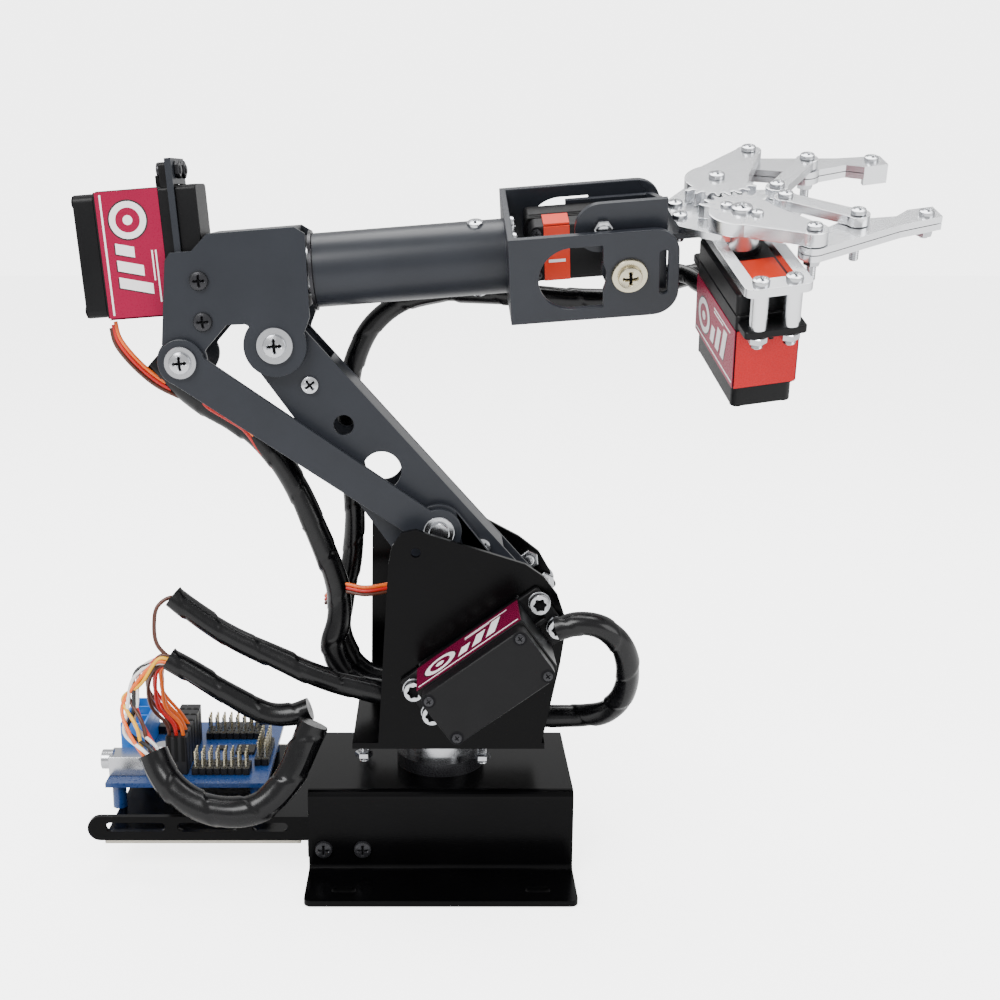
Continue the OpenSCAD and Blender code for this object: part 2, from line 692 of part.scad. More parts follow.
module bracket_lobe() {
    translate([wrist_x, 0]) circle(r = 8);
    translate([wrist_x, -8]) square([bracket_x + sheet - wrist_x, 16]);
    translate([104.6, 0]) square([bracket_x + sheet - 104.6, bracket_top]);
    translate([104, bracket_top - 8]) circle(r = 8);
    translate([96, 8]) square([9, bracket_top - 16]);
}
module wrist_bracket() {
    flange_z = grip_z - 4.6;
    color(arm_grey) roll_frame() difference() {
        union() {
            slab(-15, -13.2) bracket_lobe();
            slab(servo_back_y, servo_back_y + 1.6) difference() {
                bracket_cheek();
                translate([wrist_x, 0]) circle(r = 7);
            }
            translate([bracket_x, 0, 0]) rotate([90, 0, 90]) linear_extrude(height = sheet)
                polygon([[-15 + e, -8], [servo_back_y + 1.59, -11], [servo_back_y + 1.59, 11], [-15 + e, bracket_top]]);
            span([bracket_x + e, -11, flange_z], [135, 11, flange_z + sheet]);
        }
        ypin([wrist_x, 0], -16, -13, 2.5 + run);
        for (s = [-1, 1]) zpin([flange_screw[0], s * flange_screw[1]], flange_z - 1, flange_z + sheet + 1, 1.5);
    }
}
module gripper_base() {
    z1 = -0.2;
    z0 = z1 - 2.4;
    color(silver) grip_frame() difference() {
        translate([0, 0, z0]) linear_extrude(height = z1 - z0) difference() {
            union() {
                polygon([[-18.5, -9], [-8, -19], [4, -19], [9, -11], [20, -8], [20, 8], [9, 11], [4, 19],
                    [-8, 19], [-18.5, 9]]);
                translate([18, -4]) circle(r = 4.5);
                translate([18, 4]) circle(r = 4.5);
            }
            translate([0, -gear_d / 2]) circle(r = 8);
            translate([0, gear_d / 2]) circle(r = 2.1);
            translate([-7, 0]) circle(r = 2.2);
            for (s = [-1, 1]) translate([link_dx, s * (gear_d / 2 - link_dy)]) circle(r = 1.5);
        }
        rotate([0, 0, -grip_yaw]) for (s = [-1, 1])
            zpin([flange_screw[0] - grip_x, s * flange_screw[1]], z0 - 1, z1 + 1, 1.5);
    }
}
frame_z = -5.4;
grip_servo_z = -17;
module grip_servo_at() {
    grip_frame() translate([0, -gear_d / 2, grip_servo_z]) rotate([0, 0, 90]) children();
}
module grip_servo_frame() {
    z1 = -2.6;
    color(silver) grip_frame() translate([0, 0, frame_z]) linear_extrude(height = z1 - frame_z) difference() {
        translate([0, -gear_d / 2 - shaft_off]) round_rect(20.5, ear_l + 2, 3);
        translate([0, -gear_d / 2 - shaft_off - 1]) square([13, 42], center = true);
        translate([0, -gear_d / 2 - shaft_off])
            for (sx = [-1, 1], sy = [-1, 1]) translate([sx * ear_hole_y, sy * ear_hole_x]) circle(r = 1.9);
    }
}
module grip_servo() {
    color(servo_black) grip_servo_at() servo();
}
module gripper_fasteners() {
    z0 = -0.2;
    color(silver) {
        grip_servo_at() ear_holes() {
            difference() {
                cylinder(h = frame_z - grip_servo_z, r = 2.7);
                translate([0, 0, -1]) cylinder(h = 14, r = 1.8);
            }
            translate([0, 0, -ear_t - 4]) cylinder(h = -2.6 - grip_servo_z + ear_t + 4, r = 1.9);
            translate([0, 0, -ear_t - 2.5]) hex_nut(3, 2.4, 1.8);
        }
        grip_servo_at() for (s = [-1, 1])
            translate([-ear_hole_x - shaft_off, s * ear_hole_y, -2.6 - grip_servo_z]) cylinder(h = 2, r = 2.6);
        roll_frame() for (s = [-1, 1])
            translate([flange_screw[0], s * flange_screw[1], grip_z + z0]) screw(1.5, 8, 2.4, 1.7);
        grip_frame() {
            for (s = [-1, 1]) translate([link_dx, s * (gear_d / 2 - link_dy), 0]) {
                zpin([0, 0], -2.6, 3, 1.5);
                zpin([0, 0], -4.8, -2.6, 2.5);
                zpin([0, 0], 3.1, 4.8, 2.4);
                zpin([0, 0], 3 - e, 3.2, 1.5);
            }
            zpin([0, gear_d / 2], -2.6, lever_t + 0.2, 2.1);
            zpin([0, gear_d / 2], -5, -2.6, 3.4);
            zpin([0, gear_d / 2], lever_t + 0.1, lever_t + 1.9, 2.6);
        }
    }
}

// ---- Gripper -------------------------------------------------------------------------

// The toothed sector of a lever: a fan of whole teeth about the direction `middle`
module gear_sector(middle, count) {
    pitch_r = gear_d / 2;
    step = 360 / teeth;
    // Angle and radius of the four corners of one tooth, over one step
    tooth = [[-0.32, -1.3], [-0.11, 0.9], [0.11, 0.9], [0.32, -1.3]];
    polygon(concat([[0, 0]], [for (i = [0:count - 1], c = tooth) let (a = middle + (i - (count - 1) / 2 + c[0]) * step)
        (pitch_r + c[1]) * [cos(a), sin(a)]]));
}
// A lever turned out by the opening angle on one side, -1 or 1; its gear sector faces the other lever
module lever_outline(side) {
    rotate(side * open_deg) {
        circle(r = 10.2);
        translate([lever_len, 0]) circle(r = 4.2);
        polygon([[0, -9.8], [lever_len, -3.9], [lever_len, 3.9], [0, 9.8]]);
    }
    gear_sector(side < 0 ? 90 : -90 - 180 / teeth, 8);
}
module lever(side, bore) {
    color(silver) grip_frame() translate([0, side * gear_d / 2, 0]) linear_extrude(height = lever_t) difference() {
        lever_outline(side);
        circle(r = bore);
        rotate(side * open_deg) translate([lever_len, 0]) circle(r = 1.5 + run);
        if (side < 0) for (a = [0, 180]) rotate(side * open_deg + a) translate([5.4, 0]) circle(r = 1.1);
    }
}
module drive_lever() {
    lever(-1, 2.9);
}
module driven_lever() {
    lever(1, 2.1 + run);
}
module grip_horn() {
    shaft_top = grip_servo_z + servo_up + boss_h + 4;
    color(silver) grip_frame() translate([0, -gear_d / 2, 0]) {
        difference() {
            zpin([0, 0], grip_servo_z + servo_up + boss_h + 0.2, 0, 5.8);
            zpin([0, 0], -12, shaft_top + 0.3, shaft_r + run);
        }
        zpin([0, 0], -e, lever_t, 2.9);
        zpin([0, 0], lever_t, lever_t + 1.8, 3.4);
        for (a = [0, 180]) rotate([0, 0, -open_deg + a]) {
            zpin([5.4, 0], lever_t, lever_t + 1.4, 1.9);
            zpin([5.4, 0], 0, lever_t + e, 1.1);
        }
    }
}
module grip_link(side) {
    color(silver) grip_frame() translate([link_dx, side * (gear_d / 2 - link_dy), 0])
        rotate([0, 0, side * open_deg]) linear_extrude(height = 3) difference() {
            union() {
                for (x = [0, lever_len]) translate([x, 0]) circle(r = 3.6);
                translate([0, -3]) square([lever_len, 6]);
            }
            circle(r = 1.5 + run);
            translate([lever_len, 0]) circle(r = 1.5 + run);
        }
}
module drive_link() {
    grip_link(-1);
}
module driven_link() {
    grip_link(1);
}
// Finger outline on the -1 side, measured from the lever's end; the other side is its mirror image
module finger_outline() {
    q = [link_dx, link_dy];
    circle(r = 4.4);
    translate(q) circle(r = 4.4);
    polygon([[1.9, -4], [link_dx + 3, link_dy - 7.4], [link_dx + 12, link_dy - 4.6],
        [link_dx + finger_len + 2, link_dy - 2.4], [link_dx + finger_len + 2, link_dy + 5],
        [link_dx + finger_len - 6, link_dy + 5], [link_dx + 13, link_dy + 1.6], [link_dx + 3.4, link_dy + 2.8],
        [link_dx, link_dy + 4.4], [link_dx - 2.4, link_dy + 3.7], [-2, 3.9]]);
}
module finger_frame(side) {
    grip_frame() translate([0, side * gear_d / 2, 0]) rotate([0, 0, side * open_deg])
        translate([lever_len, 0, 0]) rotate([0, 0, -side * open_deg]) children();
}
tip_at = [link_dx + finger_len - 2, link_dy + 0.3];
module finger(side) {
    gap = 0.3;
    top = -0.3;
    ply = (finger_t - gap) / 2;
    color(silver) finger_frame(side) difference() {
        union() {
            for (k = [0, 1]) translate([0, 0, top - ply - k * (ply + gap)]) linear_extrude(height = ply)
                mirror([0, side > 0 ? 1 : 0, 0]) finger_outline();
            mirror([0, side > 0 ? 1 : 0, 0]) span([link_dx + finger_len - 6, link_dy + 3.2, top - 6.5],
                [link_dx + finger_len + 2, link_dy + 5, top]);
        }
        mirror([0, side > 0 ? 1 : 0, 0]) for (p = [[0, 0], [link_dx, link_dy], tip_at])
            zpin(p, top - 9, top + 1, 1.5);
    }
}
module drive_finger() {
    finger(-1);
}
module driven_finger() {
    finger(1);
}
module finger_screws(side) {
    top = -0.3;
    color(silver) finger_frame(side) mirror([0, side > 0 ? 1 : 0, 0]) {
        for (p = [[0, 0, lever_t], [link_dx, link_dy, 3]]) {
            zpin(p, top - 12, p[2] + 0.3, 1.5);
            zpin(p, p[2] + 0.2, p[2] + 1.9, 2.4);
            translate([p[0], p[1], top - finger_t - 2.6]) hex_nut(2.7, 2.6, 1.45);
        }
        zpin(tip_at, top - finger_t - 3, top + e, 1.5);
        zpin(tip_at, top, top + 1.7, 2.4);
        translate([tip_at[0], tip_at[1], top - finger_t - 2.4]) hex_nut(2.7, 2.4, 1.45);
    }
}
module drive_finger_screws() {
    finger_screws(-1);
}
module driven_finger_screws() {
    finger_screws(1);
}

// ---- Cords ---------------------------------------------------------------------------

module roll_lead() {
    cord(roll_lead_pts, roll_lead_r);
}
module wrist_lead() {
    cord(wrist_lead_pts, wrist_lead_r);
}
module upper_sleeve() {
    cord(upper_sleeve_pts, upper_sleeve_r);
}
module lower_sleeve() {
    cord(lower_sleeve_pts, lower_sleeve_r);
}
module board_loom() {
    cord(board_loom_pts, board_loom_r);
}
module side_lead() {
    cord(side_lead_pts, side_lead_r);
}

// ---- Drawing --------------------------------------------------------------------------

base_frame();
base_screws();
yaw_servo();
bearing_housing();
bearing_outer_ring();
bearing_cage();
board_tray();
board_plate();
control_board();
terminal_block();
power_jack();
pin_headers();
servo_plugs();
bearing_inner_ring();
yaw_hub();
turntable_bracket();
turntable_bolts();
elbow_servo();
shoulder_servo();
arm_servo_screws();
upper_arm_channel();
arm_spacers();
shoulder_hub();
crank();
link_bar();
link_pin();
forearm_bracket();
pivot_axles();
pivot_washers();
roll_servo();
forearm_screws();
tube_bearing();
forearm_tube();
roll_hub();
wrist_fork();
tube_screws();
wrist_pivot();
wrist_horn();
wrist_bracket();
wrist_servo();
gripper_base();
grip_servo_frame();
grip_servo();
gripper_fasteners();
grip_horn();
drive_lever();
driven_lever();
drive_link();
driven_link();
drive_finger();
driven_finger();
drive_finger_screws();
driven_finger_screws();
roll_lead();
wrist_lead();
upper_sleeve();
lower_sleeve();
board_loom();
side_lead();
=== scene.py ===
"""Looks of the desktop robot arm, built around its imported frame.

Lengths in the shape code are millimetres, and MM turns them into the frame's metres.
"""

import math

import bpy
from mathutils import Matrix, Vector


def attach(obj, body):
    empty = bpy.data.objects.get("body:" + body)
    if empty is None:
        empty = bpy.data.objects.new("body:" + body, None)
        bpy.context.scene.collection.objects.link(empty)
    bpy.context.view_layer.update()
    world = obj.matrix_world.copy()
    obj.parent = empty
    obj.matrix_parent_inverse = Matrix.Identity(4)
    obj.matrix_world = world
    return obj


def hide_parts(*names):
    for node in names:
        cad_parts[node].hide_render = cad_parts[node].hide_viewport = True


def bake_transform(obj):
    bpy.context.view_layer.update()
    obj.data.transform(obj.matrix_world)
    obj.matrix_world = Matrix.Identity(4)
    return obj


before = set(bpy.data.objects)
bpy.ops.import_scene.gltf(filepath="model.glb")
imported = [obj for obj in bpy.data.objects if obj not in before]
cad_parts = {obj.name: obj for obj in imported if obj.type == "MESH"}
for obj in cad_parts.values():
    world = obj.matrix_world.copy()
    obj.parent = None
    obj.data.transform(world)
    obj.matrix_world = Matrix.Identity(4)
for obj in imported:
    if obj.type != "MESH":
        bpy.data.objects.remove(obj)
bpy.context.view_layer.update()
MM = 0.001


# ---- Camera and light ----------------------------------------------------------------

def make_camera():
    data = bpy.data.cameras.new("camera")
    data.lens = 50.04
    data.sensor_width = 36
    data.shift_x = 0.0635
    data.clip_start = 0.01
    camera = bpy.data.objects.new("camera", data)
    camera.location = (-0.0014, -0.4524, 0.2261)
    camera.rotation_euler = (math.radians(90 - 12.92), 0, 0)
    bpy.context.scene.collection.objects.link(camera)
    bpy.context.scene.camera = camera


def make_light(name, place, target, size, power, colour=(1, 1, 1)):
    data = bpy.data.lights.new(name, "AREA")
    data.shape = "RECTANGLE"
    data.size, data.size_y = size
    data.energy = power
    data.color = colour
    lamp = bpy.data.objects.new(name, data)
    lamp.location = place
    lamp.rotation_euler = (Vector(target) - Vector(place)).to_track_quat("-Z", "Y").to_euler()
    bpy.context.scene.collection.objects.link(lamp)


def seen_by_camera(tree, lit, seen):
    """A strength that is one value for light and another where the camera looks straight at it."""
    path = tree.nodes.new("ShaderNodeLightPath")
    pick = tree.nodes.new("ShaderNodeMix")
    pick.inputs["A"].default_value = lit
    pick.inputs["B"].default_value = seen
    tree.links.new(path.outputs["Is Camera Ray"], pick.inputs["Factor"])
    return pick.outputs["Result"]


def make_studio():
    world = bpy.data.worlds.new("studio")
    world.use_nodes = True
    background = world.node_tree.nodes["Background"]
    background.inputs["Color"].default_value = (1, 1, 1, 1)
    world.node_tree.links.new(seen_by_camera(world.node_tree, 0.9, 4.5), background.inputs["Strength"])
    bpy.context.scene.world = world
    middle = (0, 0, 0.12)
    make_light("key", (-0.5, -0.7, 0.9), middle, (0.7, 0.5), 15)
    make_light("fill", (0.8, -0.6, 0.4), middle, (0.6, 0.6), 5)
    make_light("top", (0.1, 0.2, 1.0), middle, (0.8, 0.5), 11)


# ---- Materials -----------------------------------------------------------------------

def new_material(name):
    material = bpy.data.materials.new(name)
    material.use_nodes = True
    tree = material.node_tree
    return material, tree, tree.nodes["Principled BSDF"]


def set_inputs(node, **values):
    for key, value in values.items():
        node.inputs[key.replace("_", " ")].default_value = value


def noise(tree, scale, detail=4, stretch=(1, 1, 1)):
    """A noise texture in object coordinates, stretched along the axes."""
    place = tree.nodes.new("ShaderNodeTexCoord")
    mapping = tree.nodes.new("ShaderNodeMapping")
    mapping.inputs["Scale"].default_value = stretch
    texture = tree.nodes.new("ShaderNodeTexNoise")
    set_inputs(texture, Scale=scale, Detail=detail)
    tree.links.new(place.outputs["Object"], mapping.inputs["Vector"])
    tree.links.new(mapping.outputs["Vector"], texture.inputs["Vector"])
    return texture


def ramp(tree, source, low, high, start=0.3, stop=0.7):
    """Maps a value onto a range of colours or greys."""
    node = tree.nodes.new("ShaderNodeValToRGB")
    node.color_ramp.elements[0].position = start
    node.color_ramp.elements[0].color = low
    node.color_ramp.elements[1].position = stop
    node.color_ramp.elements[1].color = high
    tree.links.new(source, node.inputs["Fac"])
    return node.outputs["Color"]


def grey(value):
    return (value, value, value, 1)


def shade(colour, factor):
    return tuple(min(1, c * factor) for c in colour) + (1,)


def surface(name, colour, rough, spread=0.06, metal=0.0, grain=900, bump=0.02, vary=0.12,
            stretch=(1, 1, 1), specular=0.5, coat=0.0):
    """A finish with fine colour, gloss and relief variation."""
    material, tree, shader = new_material(name)
    set_inputs(shader, Metallic=metal, Specular_IOR_Level=specular, Coat_Weight=coat, Coat_Roughness=0.12)
    blotch = noise(tree, 60, 5)
    fine = noise(tree, grain, 3, stretch)
    tint = ramp(tree, blotch.outputs["Fac"], shade(colour, 1 - vary), shade(colour, 1 + vary))
    tree.links.new(tint, shader.inputs["Base Color"])
    gloss = ramp(tree, fine.outputs["Fac"], grey(rough - spread), grey(rough + spread))
    tree.links.new(gloss, shader.inputs["Roughness"])
    relief = tree.nodes.new("ShaderNodeBump")
    set_inputs(relief, Strength=bump, Distance=0.0004)
    tree.links.new(fine.outputs["Fac"], relief.inputs["Height"])
    tree.links.new(relief.outputs["Normal"], shader.inputs["Normal"])
    return material


MAT = {
    "sheet_satin": surface("sheet_satin", (0.015, 0.017, 0.022), 0.34, grain=5200, bump=0.05,
                           vary=0.1, specular=0.3),
    "sheet_gloss": surface("sheet_gloss", (0.0012, 0.0012, 0.0014), 0.20, spread=0.04, grain=5200,
                           bump=0.02, vary=0.2, specular=0.09),
    "plastic": surface("plastic", (0.004, 0.004, 0.0045), 0.36, grain=4200, bump=0.10, vary=0.2,
                       specular=0.16),
    # Darker matte black for seams, holes and openings in black plastic: painted shade
    "plastic_shade": surface("plastic_shade", (0.003, 0.003, 0.003), 0.6, grain=3000, bump=0.1, specular=0.2),
    "alloy": surface("alloy", (0.80, 0.81, 0.83), 0.24, spread=0.03, metal=1, grain=2600,
                     bump=0.008, vary=0.02, stretch=(0.2, 1, 1)),
    "steel": surface("steel", (0.52, 0.53, 0.55), 0.22, spread=0.04, metal=1, grain=2600,
                     bump=0.02, vary=0.06),
    "dark_steel": surface("dark_steel", (0.022, 0.022, 0.025), 0.28, metal=0.5, grain=2600, bump=0.03),
    "brass": surface("brass", (0.56, 0.51, 0.38), 0.27, metal=1, grain=2600, bump=0.03, vary=0.08),
    # Near-black matte: painted shade in screw drive recesses and screw pockets
    "recess_shade": surface("recess_shade", (0.006, 0.006, 0.007), 0.7, specular=0.1),
    "label_pink": surface("label_pink", (0.24, 0.004, 0.034), 0.30, grain=2000, bump=0.01,
                          vary=0.05, specular=0.2),
    "label_wine": surface("label_wine", (0.10, 0.002, 0.022), 0.28, grain=2000, bump=0.01,
                          vary=0.05, specular=0.2),
    "label_red": surface("label_red", (0.42, 0.003, 0.006), 0.28, grain=2000, bump=0.01, vary=0.05,
                         specular=0.25),
    "label_orange": surface("label_orange", (0.62, 0.030, 0.006), 0.35, grain=2000, bump=0.01,
                            vary=0.05, specular=0.25),
    "print_white": surface("print_white", (0.80, 0.78, 0.78), 0.4, grain=2000, bump=0.01, vary=0.03),
    "print_black": surface("print_black", (0.010, 0.006, 0.007), 0.35, grain=2000, bump=0.01, vary=0.03),
    "pcb": surface("pcb", (0.006, 0.035, 0.14), 0.30, grain=700, bump=0.04, vary=0.15, coat=0.15),
    "terminal": surface("terminal", (0.010, 0.13, 0.48), 0.36, grain=3000, bump=0.05, vary=0.08),
    "cream": surface("cream", (0.62, 0.58, 0.49), 0.45, grain=1500, bump=0.05, vary=0.06),
    "gold": surface("gold", (0.80, 0.73, 0.52), 0.25, metal=1, grain=2600, bump=0.02),
    "chip": surface("chip", (0.008, 0.008, 0.009), 0.45, grain=3000, bump=0.05, specular=0.3),
    "sleeve": surface("sleeve", (0.002, 0.002, 0.0025), 0.25, spread=0.05, grain=350, bump=0.06,
                      vary=0.2, specular=0.3),
    "wire_brown": surface("wire_brown", (0.07, 0.018, 0.008), 0.38, grain=1500, bump=0.05),
    "wire_red": surface("wire_red", (0.50, 0.010, 0.008), 0.38, grain=1500, bump=0.05),
    "wire_orange": surface("wire_orange", (0.78, 0.13, 0.010), 0.38, grain=1500, bump=0.05),
    "wire_yellow": surface("wire_yellow", (0.78, 0.40, 0.012), 0.38, grain=1500, bump=0.05),
    "wire_white": surface("wire_white", (0.75, 0.74, 0.72), 0.40, grain=1500, bump=0.05),
    "wire_black": surface("wire_black", (0.006, 0.006, 0.007), 0.38, grain=1500, bump=0.05),
}


# ---- Frames of reference, as in the CAD ----------------------------------------------

def move(x, y, z):
    return Matrix.Translation((x, y, z))


def turn(angle, axis):
    return Matrix.Rotation(math.radians(angle), 4, axis)


SHOULDER = (22.3, 82.7)
ELBOW = (-52.5, 175.4)
ARM_TILT = math.degrees(math.atan2(ELBOW[1] - SHOULDER[1], ELBOW[0] - SHOULDER[0]))
PLATE_Y = 26
ARM_Y = 9.2
CHEEK_Y = 13.4
LINK_Y = 14
SHEET = 2
EAR_X = 24.75
EAR_Y = 5
SHAFT_OFF = 10
EAR_T = 2.5
GEAR_D = 26
LEVER_T = 4.4
OPEN = 48
ROW = Matrix.Identity(4)
ARM = move(SHOULDER[0], 0, SHOULDER[1]) @ turn(-ARM_TILT, "Y")
FOREARM = move(ELBOW[0], 0, ELBOW[1]) @ turn(-4.4, "Y")
ROLL = FOREARM @ move(0, 0, 21.7) @ turn(23, "X")
GRIP = ROLL @ move(146, 0, 11) @ turn(6, "Z")
ROLL_SERVO = FOREARM @ move(-28.5, 0, 21.7) @ turn(90, "Y")
GRIP_SERVO = GRIP @ move(0, -GEAR_D / 2, -17) @ turn(90, "Z")
WRIST_X = 112.1


def arm_servo(side):
    return move(SHOULDER[0], side * PLATE_Y, SHOULDER[1]) @ turn(-36, "Y") @ turn(90 * side, "X")


def facing(y_sign):
    """Turns a shape whose top is +Z so that its top faces +Y or -Y."""
    return turn(-90 * y_sign, "X")


# ---- Mesh making ---------------------------------------------------------------------

class Shape:
    """A mesh being gathered: every part is put in place by a matrix and gets a named material."""

    def __init__(self):
        self.points = []
        self.faces = []
        self.kinds = []
        self.names = []

    def add(self, points, faces, at, material):
        if material not in self.names:
            self.names.append(material)
        first = len(self.points)
        self.points += [at @ Vector(p) for p in points]
        self.faces += [[first + i for i in f] for f in faces]
        self.kinds += [self.names.index(material)] * len(faces)

    def object(self, name, body, nodes=(), smooth=35):
        mesh = bpy.data.meshes.new(name)
        mesh.from_pydata([p * MM for p in self.points], [], self.faces)
        for key in self.names:
            mesh.materials.append(MAT[key])
        mesh.polygons.foreach_set("material_index", self.kinds)
        mesh.shade_smooth()
        mesh.set_sharp_from_angle(angle=math.radians(smooth))
        obj = bpy.data.objects.new(name, mesh)
        bpy.context.scene.collection.objects.link(obj)
        if body:
            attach(obj, body)
        if nodes:
            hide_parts(*nodes)
        return obj


def soften(obj, width, weld=False):
    """Rounds the edges of a piece, and shades its flat faces flat."""
    if weld:
        join = obj.modifiers.new("weld", "WELD")
        join.merge_threshold = 0.00002
        flat = obj.modifiers.new("flat", "DECIMATE")
        flat.decimate_type = "DISSOLVE"
        flat.angle_limit = math.radians(0.6)
    cut = obj.modifiers.new("bevel", "BEVEL")
    cut.width = width * MM
    cut.segments = 2
    cut.limit_method = "ANGLE"
    cut.angle_limit = math.radians(40)
    cut.use_clamp_overlap = True
    even = obj.modifiers.new("even", "WEIGHTED_NORMAL")
    even.keep_sharp = True


def ring(radius, count, z, phase=0.0):
    return [(radius * math.cos(2 * math.pi * (i + phase) / count),
             radius * math.sin(2 * math.pi * (i + phase) / count), z) for i in range(count)]


def bridge(rows, count, closed_low=True, closed_high=True):
    """Faces between successive rows of points, with caps."""
    faces = []
    for r in range(rows - 1):
        for i in range(count):
            a, b = r * count + i, r * count + (i + 1) % count
            faces.append((a, b, b + count, a + count))
    if closed_low:
        faces.append(tuple(range(count - 1, -1, -1)))
    if closed_high:
        faces.append(tuple((rows - 1) * count + i for i in range(count)))
    return faces


def lathe(shape, at, profile, material, count=40):
    """A turned piece: profile is a list of (radius, z) from bottom to top."""
    points = [p for r, z in profile for p in ring(max(r, 0.001), count, z)]
    shape.add(points, bridge(len(profile), count), at, material)


def prism(shape, at, outline, z0, z1, material, chamfer=0.0):
    """An outline drawn in XY, thickened from z0 to z1, with a chamfer at both rims."""
    n = len(outline)
    if chamfer:
        inner = inset(outline, chamfer)
        levels = [(inner, z0), (outline, z0 + chamfer), (outline, z1 - chamfer), (inner, z1)]
    else:
        levels = [(outline, z0), (outline, z1)]
    points = [(x, y, z) for path, z in levels for x, y in path]
    shape.add(points, bridge(len(levels), n), at, material)


def inset(outline, distance):
    """An outline moved inwards; it runs anticlockwise."""
    result = []
    n = len(outline)
    for i in range(n):
        before, here, after = (Vector(outline[(i + k) % n]) for k in (-1, 0, 1))
        d1, d2 = (here - before).normalized(), (after - here).normalized()
        n1, n2 = Vector((-d1.y, d1.x)), Vector((-d2.y, d2.x))
        middle = (n1 + n2)
        if middle.length < 1e-6:
            middle = n1
        middle.normalize()
        result.append(tuple(here + middle * distance / max(0.5, middle.dot(n1))))
    return result


def round_rect(w, h, r, steps=5, centre=(0, 0)):
    """The outline of a rectangle with round corners, anticlockwise."""
    points = []
    for k, (sx, sy) in enumerate(((1, 1), (-1, 1), (-1, -1), (1, -1))):
        for i in range(steps + 1):
            a = math.pi / 2 * (k + i / steps)
            points.append((centre[0] + sx * (w / 2 - r) + r * math.cos(a),
                           centre[1] + sy * (h / 2 - r) + r * math.sin(a)))
    return points


def head(shape, at, radius, height, kind, material, count=36):
    """A screw head standing on z = 0, with a cross or a hexagon sunk into its top."""
    domed = kind == "cross"
    steps = 14
    rows = [ring(radius, count, 0), ring(radius, count, height * (0.45 if domed else 0.88))]
    for k in range(steps, 0, -1):
        rho = radius * 0.93 * k / steps
        crown = height * (1 - (0.32 * (rho / radius) ** 2 if domed else 0))
        rows.append([(x, y, crown - 0.6 * height * recess(kind, x / radius, y / radius))
                     for x, y, _ in ring(rho, count, 0)])
    points = [p for row in rows for p in row]
    faces = bridge(len(rows), count)
    sunk = [f for f in faces if sum(recess(kind, points[i][0] / radius, points[i][1] / radius) for i in f)
            > 0.7 * len(f) and min(f) >= 2 * count]
    shape.add(points, [f for f in faces if f not in sunk], at, material)
    # The drive's sunk faces are drawn near-black: painted shade in the recess
    shape.add(points, sunk, at, "recess_shade")


def recess(kind, x, y):
    """How deep the drive is at a place on a head of radius 1, from 0 to 1."""
    if kind == "cross":
        arm = min(max(abs(x) - 0.62, abs(y) - 0.12), max(abs(y) - 0.62, abs(x) - 0.12))
        return min(1, max(0, -arm / 0.10 + 0.1))
    far = max(abs(x * math.cos(a) + y * math.sin(a)) for a in (0, math.pi / 3, 2 * math.pi / 3))
    return 1.0 if far < 0.52 else 0.0


def nut(shape, at, radius, height, material="steel", bore=0.5):
    """A hexagon nut with chamfered corners and a threaded end showing in its bore."""
    outline = [(x, y) for x, y, _ in ring(radius, 6, 0)]
    prism(shape, at, outline, 0, height, material, chamfer=min(0.35, height * 0.2))
    lathe(shape, at, [(radius * bore, height * 0.5), (radius * bore, height + 0.25),
                      (radius * bore * 0.8, height + 0.4)], material, 20)


def thread(shape, at, radius, z0, z1, material="steel", pitch=0.6):
    """A threaded shank: fine rings in and out."""
    profile = []
    z = z0
    while z < z1:
        profile += [(radius * 0.9, z), (radius, z + pitch / 2)]
        z += pitch
    lathe(shape, at, profile, material, 20)


def screw(shape, at, radius, height, shank_r, shank, kind="cross", material="steel"):
    head(shape, at, radius, height, kind, material)
    if shank > 0:
        lathe(shape, at, [(shank_r * 0.85, -shank), (shank_r, -shank + 0.4), (shank_r, 0.05)], material, 20)


# ---- Cords: the routes are the CAD's, in millimetres ----------------------------------

ROLL_LEAD = [(-105, 3, 180), (-102, 4, 175), (-95, 5, 168), (-87, 5, 161), (-78, 5, 154), (-69, 5, 149),
             (-61, 5, 143), (-54, 5, 135), (-48, 5, 125), (-43, 5, 113), (-38, 5, 100), (-35, 5, 89),
             (-35, 4, 79),
             (-37, 3, 70), (-34, 2, 62), (-28, 1, 57), (-20, 1, 55)]
WRIST_LEAD = [(92, 26, 196), (80, 24, 194), (66, 25, 188), (50, 24, 187), (34, 22, 188), (18, 21, 189),
              (2, 20, 190), (-12, 19, 187), (-22, 18, 180), (-28, 17, 170), (-31, 17, 158), (-32, 17, 144),
              (-31, 18, 130), (-30, 20, 114), (-31, 21, 98), (-34, 20, 82), (-35, 16, 72), (-31, 12, 63),
              (-25, 11, 57.5), (-18, 11, 55.5)]
UPPER_SLEEVE = [(-90, -4, 90), (-84, -5, 85.5), (-76, -6, 80), (-68, -7, 75.5), (-60, -8, 72),
                (-52, -9, 68.5),
                (-44, -10, 65), (-36, -10, 62), (-27, -10, 59.5), (-19, -10, 57.5)]
LOWER_SLEEVE = [(-91, -10, 70), (-84, -11, 66.2), (-76, -12, 61.4), (-69.8, -12, 57.5), (-63.5, -12, 53.8),
                (-57, -12, 51), (-50, -12, 51), (-44, -12, 53)]
BOARD_LOOM = [(-95, -23, 42), (-92.5, -25, 37), (-88, -28, 31.8), (-81.6, -30, 27.4), (-74, -31, 25),
              (-66, -31, 24.5), (-58.5, -30, 26.5), (-52.5, -28, 31.5), (-48, -26, 38), (-45, -24, 45),
              (-42, -22.5, 52)]
SIDE_LEAD = [(36, -42, 91), (42, -43, 93), (49, -43, 92), (55, -41, 87), (58.5, -37, 79), (59.5, -32, 70),
             (58, -27, 62), (54, -22, 56), (48, -18, 53), (41, -16, 52), (34, -15, 51.5), (27, -15, 51.5)]


